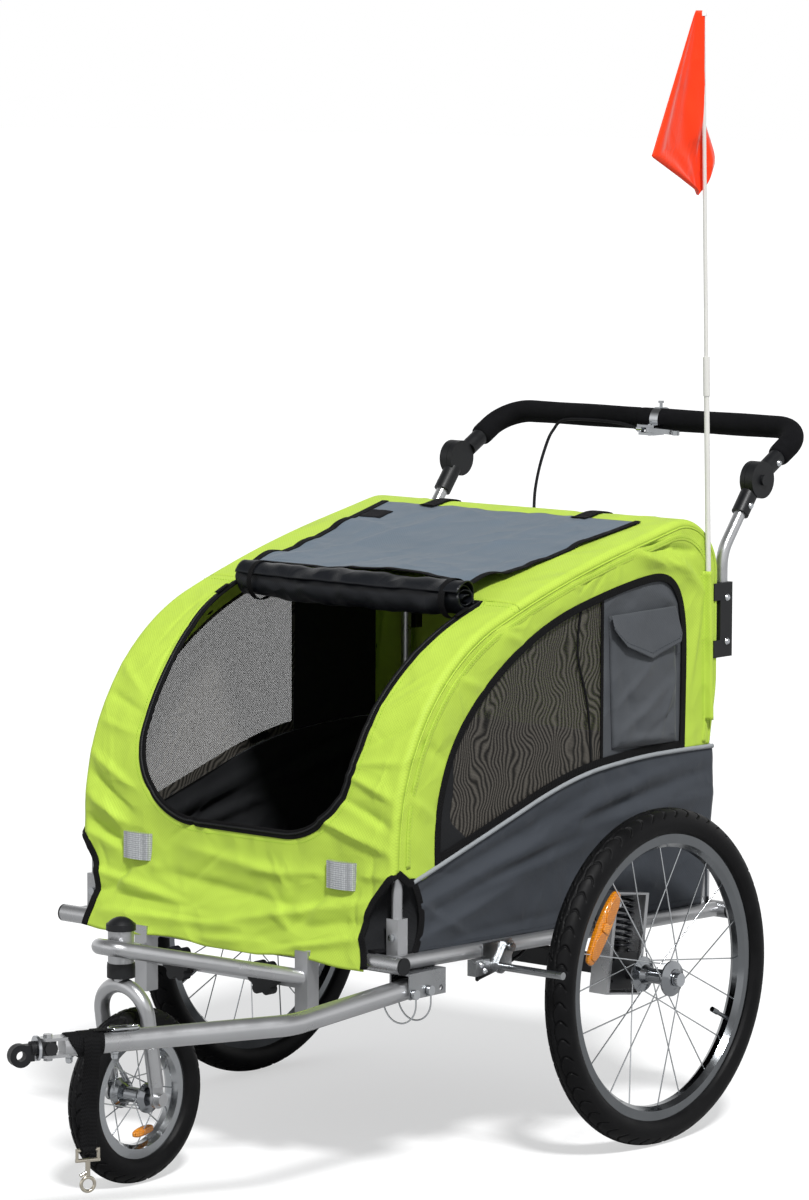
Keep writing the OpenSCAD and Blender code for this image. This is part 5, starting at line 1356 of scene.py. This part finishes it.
class TRAILER_OT_rolled_door(bpy.types.Operator):
    """The mesh door rolled up over the opening"""
    bl_idname = "trailer.rolled_door"
    bl_label = "Rolled door"

    def execute(self, context):
        """A spiral of cloth in (y, z), r growing evenly with the turn, carried along x with a slow wobble."""
        black = polyester("black coated mesh", linear("#14161a"), 2.2, sheen=0.0, roughness=0.4, crease=5.0)
        turn = np.linspace(*ROLL_TURNS, 200)
        x = np.linspace(*ROLL_X, 120)[:, None]
        slow = 0.05 * np.sin(x / 33 + turn) + 0.035 * np.sin(x / 14 + 2 * turn + 1)
        full = 0.14 * self.swell(x) ** 0.7
        r = np.interp(turn, ROLL_TURNS, ROLL_R) * (1 + full + slow + 0.022 * np.sin(x / 6.5 - 3 * turn))
        ragged = 5 * np.sin(turn * 1.3) * np.abs(np.linspace(-1, 1, 120))[:, None] ** 8
        skin = np.stack([
            x + ragged, ROLL[0] + r * np.cos(turn + 0.5), self.height(x) + r * np.sin(turn + 0.5)], 2)
        sheet("door_roll", skin, black, "black_cloth", held="gathered", on="roof_panel",
              replaced="rolled_flap", thick=1.8)
        for k, (at, wide) in enumerate(((203, 12), (-168, 9))):
            centre = np.array((at, ROLL[0], self.height(at)))
            ring, out = ring_about(centre, TIE_R, np.linspace(0, TAU, 41), (0, 1, 0), (0, 0, 1))
            strip("roll_tie.%d" % k, ring, out, tape(wide, 1.4), nylon_tape(), closed=True)
        s = np.linspace(s_of_z(790), s_of_z(790) - 30, 20)
        for k, (at, to) in enumerate(((-229, -224), (236, 240))):
            path = band(np.linspace(at, to, 20), s, np.linspace(4.5, 6, 20))
            strip("zip_pull.%d" % k, path, band_normal(s), tape(7, 2.2), nylon_tape())
        return {"FINISHED"}

    def swell(self, x):
        """A half wave over the roll's length."""
        return np.sin(math.pi * (x - ROLL_X[0]) / (ROLL_X[1] - ROLL_X[0]))

    def height(self, x):
        """z of the roll's axis, which sags."""
        return ROLL[1] - 2.5 * self.swell(x)


class TRAILER_OT_tyres(bpy.types.Operator):
    """Treaded tyres of all three wheels"""
    bl_idname = "trailer.tyres"
    bl_label = "Tyres"

    def execute(self, context):
        for sign, side in SIDES:
            self.tyre(side, (sign * WHEEL_X, 0, AXLE_Z), *REAR_TYRE)
        self.tyre("front", FRONT_AXLE, *FRONT_TYRE)
        return {"FINISHED"}

    def tyre(self, side, centre, radius, edge, lugs, steps):
        """A round section carried round the axle, its bead turned into the rim; grooves are cut inwards where
        s-curves across the tread, one per lug and side, and two wavy rings come near."""
        r = TYRE_SECTION_R
        low = math.acos((edge - (radius - r)) / r)
        phi = np.concatenate([
            np.linspace(-low, -TREAD_EDGE - 0.02, 8),
            np.linspace(0.02 - TREAD_EDGE, TREAD_EDGE - 0.02, 44),
            np.linspace(TREAD_EDGE + 0.02, low, 8)])
        section = np.stack([radius - r + r * np.cos(phi), r * np.sin(phi)], 1)
        bead = np.array([(edge - d, h) for d, h in zip((2, 8, 8, 2), np.repeat((BEAD_HALF, -BEAD_HALF), 2))])
        section = np.concatenate([section, bead, section[:1]])
        phi = np.concatenate([phi, np.full(4, BEAD), phi[:1]])
        turn = np.linspace(0, TAU, steps + 1)
        t, p = np.meshgrid(turn, phi, indexing="ij")
        pitch = TAU * radius / lugs
        along = t * radius + np.where(p > 0, pitch / 2, 0) + LUG_SWEEP * np.sin(np.abs(p) * 3.4 - 0.6)
        near = np.abs((along / pitch + 0.5) % 1 - 0.5) * pitch
        shoulder = np.clip((np.abs(p) - LUG_FROM) / 0.05, 0, 1) * np.clip((LUG_TO - np.abs(p)) / 0.08, 0, 1)
        groove = np.clip(1.8 - near / 1.2, 0, 1) * shoulder
        wavy = np.abs(np.abs(p) * r - RING_AT - RING_WAVE * np.sin(t * lugs)) - 0.4
        ring = np.clip(1 - wavy / 0.6, 0, 1) * (np.abs(p) < 0.6)
        rib = np.clip(1 - np.abs(np.abs(p) - RIB) / 0.05, 0, 1) * 0.35
        cut = sizes().tread * np.clip(np.maximum(groove, ring), 0, 1) - rib
        cut = np.where(p < BEAD, cut, 0)
        flat = section[None] - cut[..., None] * np.stack([np.cos(p), np.sin(p)], 2)
        grid = np.stack([
            centre[0] + flat[..., 1],
            centre[1] + flat[..., 0] * np.cos(t),
            centre[2] + flat[..., 0] * np.sin(t)], 2)
        paint = rubber("tyre rubber", linear("#0c0c0d"))
        piece = surface(side + "_tyre_tread", grid, paint, side + "_wheel")
        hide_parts(side + "_tyre")


class TRAILER_OT_springs(bpy.types.Operator):
    """Coil springs of the two suspensions"""
    bl_idname = "trailer.springs"
    bl_label = "Springs"

    def execute(self, context):
        """A helix in the raked frame of the slide; a round wire is swept along it."""
        steel = moulded("black spring steel", linear("#15161a"), 0.3)
        a = np.linspace(0, COIL_TURNS * TAU, COIL_TURNS * 30)
        y = COIL_R * (np.sin(a) - 1)
        z = COIL_FOOT + COIL_RISE * a / a[-1]
        sine, cosine = math.sin(RAKE), math.cos(RAKE)
        for sign, side in SIDES:
            x = sign * (SLIDE_X + COIL_R * np.cos(a))
            path = np.stack([x, y * cosine + z * sine, AXLE_Z - y * sine + z * cosine], 1)
            out = np.stack([sign * np.cos(a), np.sin(a), 0 * a], 1)
            piece = strip(side + "_coil", path, out, ellipse(WIRE_R, WIRE_R, 10), steel)
            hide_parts(side + "_spring")
            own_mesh(piece)
        return {"FINISHED"}


class TRAILER_OT_grip(bpy.types.Operator):
    """Foam sleeve round the handle"""
    bl_idname = "trailer.grip"
    bl_label = "Foam grip"

    def execute(self, context):
        """A circle swept along the bent handle; its radius falls at both ends and at a joint, and waves a
        little between."""
        start = TILT + GRIP_START * HANDLE_DIR
        corner = TILT + GRIP_REACH * HANDLE_DIR
        mirror = np.array((-1, 1, 1))
        path = even(bent([start, corner, corner * mirror, start * mirror], GRIP_BEND_R), 260)
        grid = sweep(path, np.cross((1, 0, 0), HANDLE_DIR), ellipse(1, 1, 28))
        s = lengths(path)
        end = np.minimum(s, s[-1] - s)
        r = GRIP_R - 3 * np.exp(-end / 2.5) + 0.25 * np.sin(s / 23) * np.clip(end / 30, 0, 1)
        r = r - 1.2 * np.exp(-((s - s[-1] + GRIP_JOINT) / 2.0) ** 2)
        middle = path[:, None]
        grid = capped(middle + (grid - middle) * r[:, None, None])
        piece = surface("foam_grip", grid, foam(), "handle")
        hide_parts("handle_grip")
        return {"FINISHED"}


class TRAILER_OT_flag(bpy.types.Operator):
    """Safety flag hanging at the top of the pole"""
    bl_idname = "trailer.flag"
    bl_label = "Flag"

    def execute(self, context):
        """Rows from the top down; each runs from the left edge to the right edge and bends into upright folds
        that deepen downwards; the lowest rows pass behind the pole."""
        nylon = polyester("orange ripstop nylon", colours().flag, 3.0, sheen=0.3, roughness=0.5)
        left = np.array([(190, 1645), (88, 1433), (150, 1404), (207, 1376)], float)
        right = [(202, 1645), (206, 1500), (236, 1450), (247, 1426), (236, 1404), (213, 1374)]
        u = np.linspace(0, 1, 44)[None, :, None]
        flat = between(even(left, 70)[:, None], even(smooth(right, 200), 70)[:, None], u)
        v = np.linspace(0, 1, 70)[:, None]
        u = u[..., 0]
        near = np.exp(-((flat[..., 0] - pole_y(flat[..., 1])) / 9) ** 2)
        front = 1 / (1 + np.exp((v - 0.62) * 30))
        fold = 7 * v * np.sin(u * 8.2 + 0.6) + 3 * v * np.sin(u * 17)
        x = POLE[0] + fold - 4 - 4 * v + near * (front * (8.5 - fold) + (1 - front) * (-5 - fold))
        grid = np.stack([x, flat[..., 0], flat[..., 1]], 2)
        sheet("flag_cloth", grid, nylon, "flag_cloth", FLAG_CUT, min(grid_area(grid), FLAG_AREA), held="hung",
              on="flag_pole", replaced="flag", body="flag_pole", facing=(1, 0, 0), thick=0.5)
        white = moulded("white ferrule", linear("#e9e7e2"), 0.5)
        z = np.linspace(FLAG_TIP_Z - FERRULE, FLAG_TIP_Z, 8)
        r = np.interp(z, [FLAG_TIP_Z - FERRULE, FLAG_TIP_Z - 3, FLAG_TIP_Z], [5.6, 5.6, 4.6])
        axis = np.stack([np.full(8, POLE[0]), pole_y(z), z], 1)[:, None]
        circle, _ = ring_about(0, 1, np.linspace(0, TAU, 25), (1, 0, 0), (0, 1, 0))
        surface("flag_tip", capped(axis + r[:, None, None] * circle), white, "flag_pole")
        return {"FINISHED"}


class TRAILER_OT_safety_strap(bpy.types.Operator):
    """Safety webbing wrapped round the tow arm"""
    bl_idname = "trailer.safety_strap"
    bl_label = "Safety strap"

    def execute(self, context):
        """Three wraps round the arm, a tail that hangs beside it to the link, a loop in the link and an end
        along the arm's top, all of flat tape."""
        black = webbing("nylon strap", colours().black, 2.6)
        level = unit(np.array((ARM_DIR[0], ARM_DIR[1], 0)))
        near = np.array((-level[1], level[0], 0))
        up = np.array((0, 0, 1.0))
        top = ARM_BEND + STRAP_AT * ARM_DIR
        a = np.linspace(0, TAU, 49)
        wraps = ((0, 27, 1.9, 2.0, 0), (12, 24, 1.2, 10.0, 0), (-12, 18, 0.8, 2.0, 2))
        for k, (along, wide, over, slant, phase) in enumerate(wraps):
            ring, out = ring_about(top + along * ARM_DIR, ARM_R + over, a, near, up)
            ring = ring + slant * np.sin(a + phase)[:, None] * ARM_DIR
            strip("strap_wrap.%d" % k, ring, out, tape(wide, 1.7), black, closed=True)
        drop = top[2] - STRAP_LOW
        points = [
            up * 12 + near * 15.2, up * 4 + near * 18.4, -up * 16 + near * 17.5, -up * 50 + near * 10,
            -up * 90 + near * 4, -up * (drop - 10) + near * 1.6, -up * (drop + 3.6)]
        path = top + through(points, 60)
        out = np.cross(level, tangents(path))
        out = out * np.sign(out @ near)[:, None]
        tail = strip("strap_tail", path, out, tape(STRAP_W - 1, 2.2), black)
        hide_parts("safety_strap")
        ring, out = ring_about(top - up * drop, LINK_R, np.linspace(0, TAU, 33), near, up)
        strip("strap_loop", ring, out, tape(STRAP_W - 6, 1.8), black, closed=True)
        along = np.linspace(-58, -6, 24)[:, None]
        over = top + along * ARM_DIR + (ARM_R + 1.2) * unit(up - (up @ ARM_DIR) * ARM_DIR)
        strip("strap_link_tail", over, up, tape(18, 2.4), black)
        thread = sewing_thread("black")
        row = path[[42, 53]] + near * 1.6
        for k, off in enumerate((-9, 9)):
            stitches("strap_stitches.%d" % k, row + off * level, near, thread, pitch=3.4, long=2.6)
        return {"FINISHED"}


class TRAILER_OT_reflectors(bpy.types.Operator):
    """Amber wheel reflectors with rounded ends"""
    bl_idname = "trailer.reflectors"
    bl_label = "Wheel reflectors"

    def execute(self, context):
        for sign, side in SIDES:
            self.bar(side, (sign * WHEEL_X, 0, AXLE_Z), sign, *REAR_REFLECTOR)
        self.bar("front", FRONT_AXLE, 1, *FRONT_REFLECTOR)
        return {"FINISHED"}

    def bar(self, side, centre, sign, at, angle, length, width, depth):
        """A slab with soft edges that narrows towards its ends; two lenses and a round boss stand on it."""
        paint = reflector("amber acrylic", colours().amber, 3.2)
        angle = math.radians(angle)
        radial = np.array((0, math.sin(angle), -math.cos(angle)))
        along = np.array((0, math.cos(angle), math.sin(angle)))
        out = np.array((sign, 0, 0.0))
        middle = np.array(centre) + at * radial + out * (depth[0] + depth[1]) / 2
        half = np.array((width / 2, length / 2, (depth[1] - depth[0]) / 2))
        axes = (radial, along, out)
        lens = self.slab(middle - out * 0.9, axes, half - (0, 0, 0.9))
        piece = surface(side + "_reflector", lens, paint, side + "_wheel")
        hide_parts(side + "_wheel_reflector")
        for k, shift in enumerate((-0.5, 0.5)):
            at_face = middle + out * (half[2] - 1.6) + along * shift * length * 0.5
            face = self.slab(at_face, axes, half * (0.66, 0.38, 0) + (0, 0, 1.8))
            surface("%s_reflector_lens.%d" % (side, k), face, paint, side + "_wheel")
        boss = self.slab(middle + out * (half[2] - 0.6), axes, np.array((0.24 * width, 0.24 * width, 2.2)))
        surface(side + "_reflector_boss", boss, paint, side + "_wheel")

    def slab(self, middle, axes, half):
        """A superellipsoid: each axis is half its size times a signed power of the cosines and sines of two
        angles; a long one narrows with the square of the way along it."""
        a = np.linspace(-math.pi / 2, math.pi / 2, 19)[:, None]
        b = np.linspace(-math.pi, math.pi, 57)[None, :]
        reach = power(np.cos(a), 0.3) * power(np.sin(b), 0.45)
        waist = 1 - 0.4 * np.clip(half[1] / half[0] - 1, 0, 1) * reach ** 2
        broad = power(np.cos(a), 0.3) * power(np.cos(b), 0.45) * waist
        local = [broad, reach, power(np.sin(a), 0.5) * np.ones_like(b)]
        return middle + sum(half[k] * local[k][..., None] * axes[k] for k in range(3))


class TRAILER_OT_fasteners(bpy.types.Operator):
    """Bolt and screw heads"""
    bl_idname = "trailer.fasteners"
    bl_label = "Fasteners"

    def execute(self, context):
        low, high = TILT - 47 * STEM_DIR, TILT + 47 * HANDLE_DIR
        for sign, side in SIDES:
            out = (sign, 0, 0)
            for k, z in enumerate((706, 772)):
                self.head("sleeve_bolt_%s.%d" % (side, k), (sign * 305.5, 282, z), out, 4.2)
            self.head("knuckle_bolt_%s.0" % side, (sign * 306.5, low[1], low[2]), out, 4)
            self.head("knuckle_bolt_%s.1" % side, (sign * 306.5, high[1], high[2]), out, 4, "handle")
            self.head("slide_bolt_%s.0" % side, (sign * 348, -30, AXLE_Z + 104), out, 4.5)
        for k, at in enumerate((324, 259)):
            under = ARM_BEND + at * ARM_DIR - np.array((0, 0, ARM_R))
            self.head("arm_bolt.%d" % k, under, (0, 0, -1), 5, tall=9)
        for k, (y, z) in enumerate(((-322, 301), (-314, 291))):
            self.head("brake_box_bolt.%d" % k, (331, y, z), (1, 0, 0), 3.4)
        return {"FINISHED"}

    def head(self, name, at, normal, r, body="chassis", tall=3.0):
        """A flange and a domed head with a socket, as a profile turned about the bolt's axis."""
        n = np.array(normal, float)
        hint = np.array((0, 0, 1.0)) if abs(n[2]) < 0.9 else np.array((1.0, 0, 0))
        u = unit(np.cross(hint, n))
        profile = (r, 1) * np.array([
            (0, -1.5), (1.25, -1.5), (1.25, 0.8), (1.0, 1.0), (0.95, 0.75 * tall), (0.75, tall), (0.42, tall),
            (0.38, tall - 1.2), (0, tall - 1.2)])
        spin, _ = ring_about(0, 1, np.linspace(0, TAU, 25), u, np.cross(n, u))
        grid = np.array(at, float) + profile[:, None, :1] * spin[None] + profile[:, None, 1:] * n
        surface(name, grid, bright_metal("zinc-plated steel", "#c9ccd0", 0.24), body)


class TRAILER_OT_finishes(bpy.types.Operator):
    """Materials of the solids that stay in view"""
    bl_idname = "trailer.finishes"
    bl_label = "Finishes"

    def execute(self, context):
        flange = to_frame(ARM_BEND + FLANGE_AT * ARM_DIR) @ ARM_DIR
        shown = {
            silver_paint(): [
                "cross_tubes", "side_rails", "cabin_frame", "suspension_brackets", "tow_arm", "carrier_frame",
                "fork", "lower_handle_tubes", "handlebar"],
            black_nylon(): [
                "tube_caps", "left_carrier_knob", "right_carrier_knob", "handle_mounts", "upper_knuckles",
                "left_tilt_button", "right_tilt_button", "hitch_eye"],
            moulded("black painted steel", linear("#17181b"), 0.36): ["axle_beam"],
            bright_metal("chrome plate", "#c3c6c9", 0.12): [
                "socket_pins", "left_spokes", "right_spokes", "front_spokes", "front_tow_pin", "rear_tow_pin",
                "strap_link", "brake_clamp", "brake_lever"],
            bright_metal("polished alloy", "#96999d", 0.14): ["left_hub", "right_hub", "front_hub"],
            # the rear rims are a darker copy of the polished alloy: painted dark reflection
            bright_metal("polished rim alloy", "#7a7d80", 0.12): ["left_rim", "right_rim"],
            bright_metal("chromed rim steel", "#b2b5b8", 0.14): ["front_rim"],
            bright_metal("zinc-plated bracket", "#a6a8aa", 0.26): [
                "brake_bracket", "brake_bar", "tow_channel"],
            bright_metal("nickel plate", "#c3bcae", 0.2): ["snap_hook"],
            floor_cloth(): ["floor_panel"],
            plated_end("black nylon, zinc flange", ARM_DIR, float(flange)): ["hitch_swivel"],
            plated_end("black steel, chrome axle left", (1, 0, 0), AXLE_SHOWS): ["left_slider"],
            plated_end("black steel, chrome axle right", (-1, 0, 0), AXLE_SHOWS): ["right_slider"],
            reflector("clear acrylic", linear("#b9bcbf"), 3.0): ["front_reflectors"],
            fibreglass(): ["flag_pole"],
        }
        for paint, names in shown.items():
            for name in names:
                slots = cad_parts[name].data.materials
                slots.clear()
                slots.append(paint)
        return {"FINISHED"}


class TRAILER_PT_looks(bpy.types.Panel):
    """Lists the steps that dress the trailer"""
    bl_idname = "TRAILER_PT_looks"
    bl_label = "Trailer"
    bl_space_type = "VIEW_3D"
    bl_region_type = "UI"
    bl_category = "Trailer"

    def draw(self, context):
        for group in (context.scene.trailer_sizes, context.scene.trailer_colours):
            for key in group.__annotations__:
                self.layout.prop(group, key)
        for step in STEPS:
            self.layout.operator(step.bl_idname)


STEPS = (
    TRAILER_OT_stage, TRAILER_OT_cable, TRAILER_OT_finishes, TRAILER_OT_front_panel, TRAILER_OT_roof_panel,
    TRAILER_OT_sides, TRAILER_OT_roof_flap, TRAILER_OT_rolled_door, TRAILER_OT_tyres, TRAILER_OT_springs,
    TRAILER_OT_grip, TRAILER_OT_flag, TRAILER_OT_safety_strap, TRAILER_OT_reflectors, TRAILER_OT_fasteners)
CLASSES = (TrailerColours, TrailerSizes, *STEPS, TRAILER_PT_looks)


def register():
    for part in CLASSES:
        bpy.utils.register_class(part)
    bpy.types.Scene.trailer_colours = bpy.props.PointerProperty(type=TrailerColours)
    bpy.types.Scene.trailer_sizes = bpy.props.PointerProperty(type=TrailerSizes)


def unregister():
    del bpy.types.Scene.trailer_sizes
    del bpy.types.Scene.trailer_colours
    for part in reversed(CLASSES):
        bpy.utils.unregister_class(part)


def main():
    register()
    for step in STEPS:
        group, name = step.bl_idname.split(".")
        getattr(getattr(bpy.ops, group), name)()


if __name__ == "__main__":
    main()
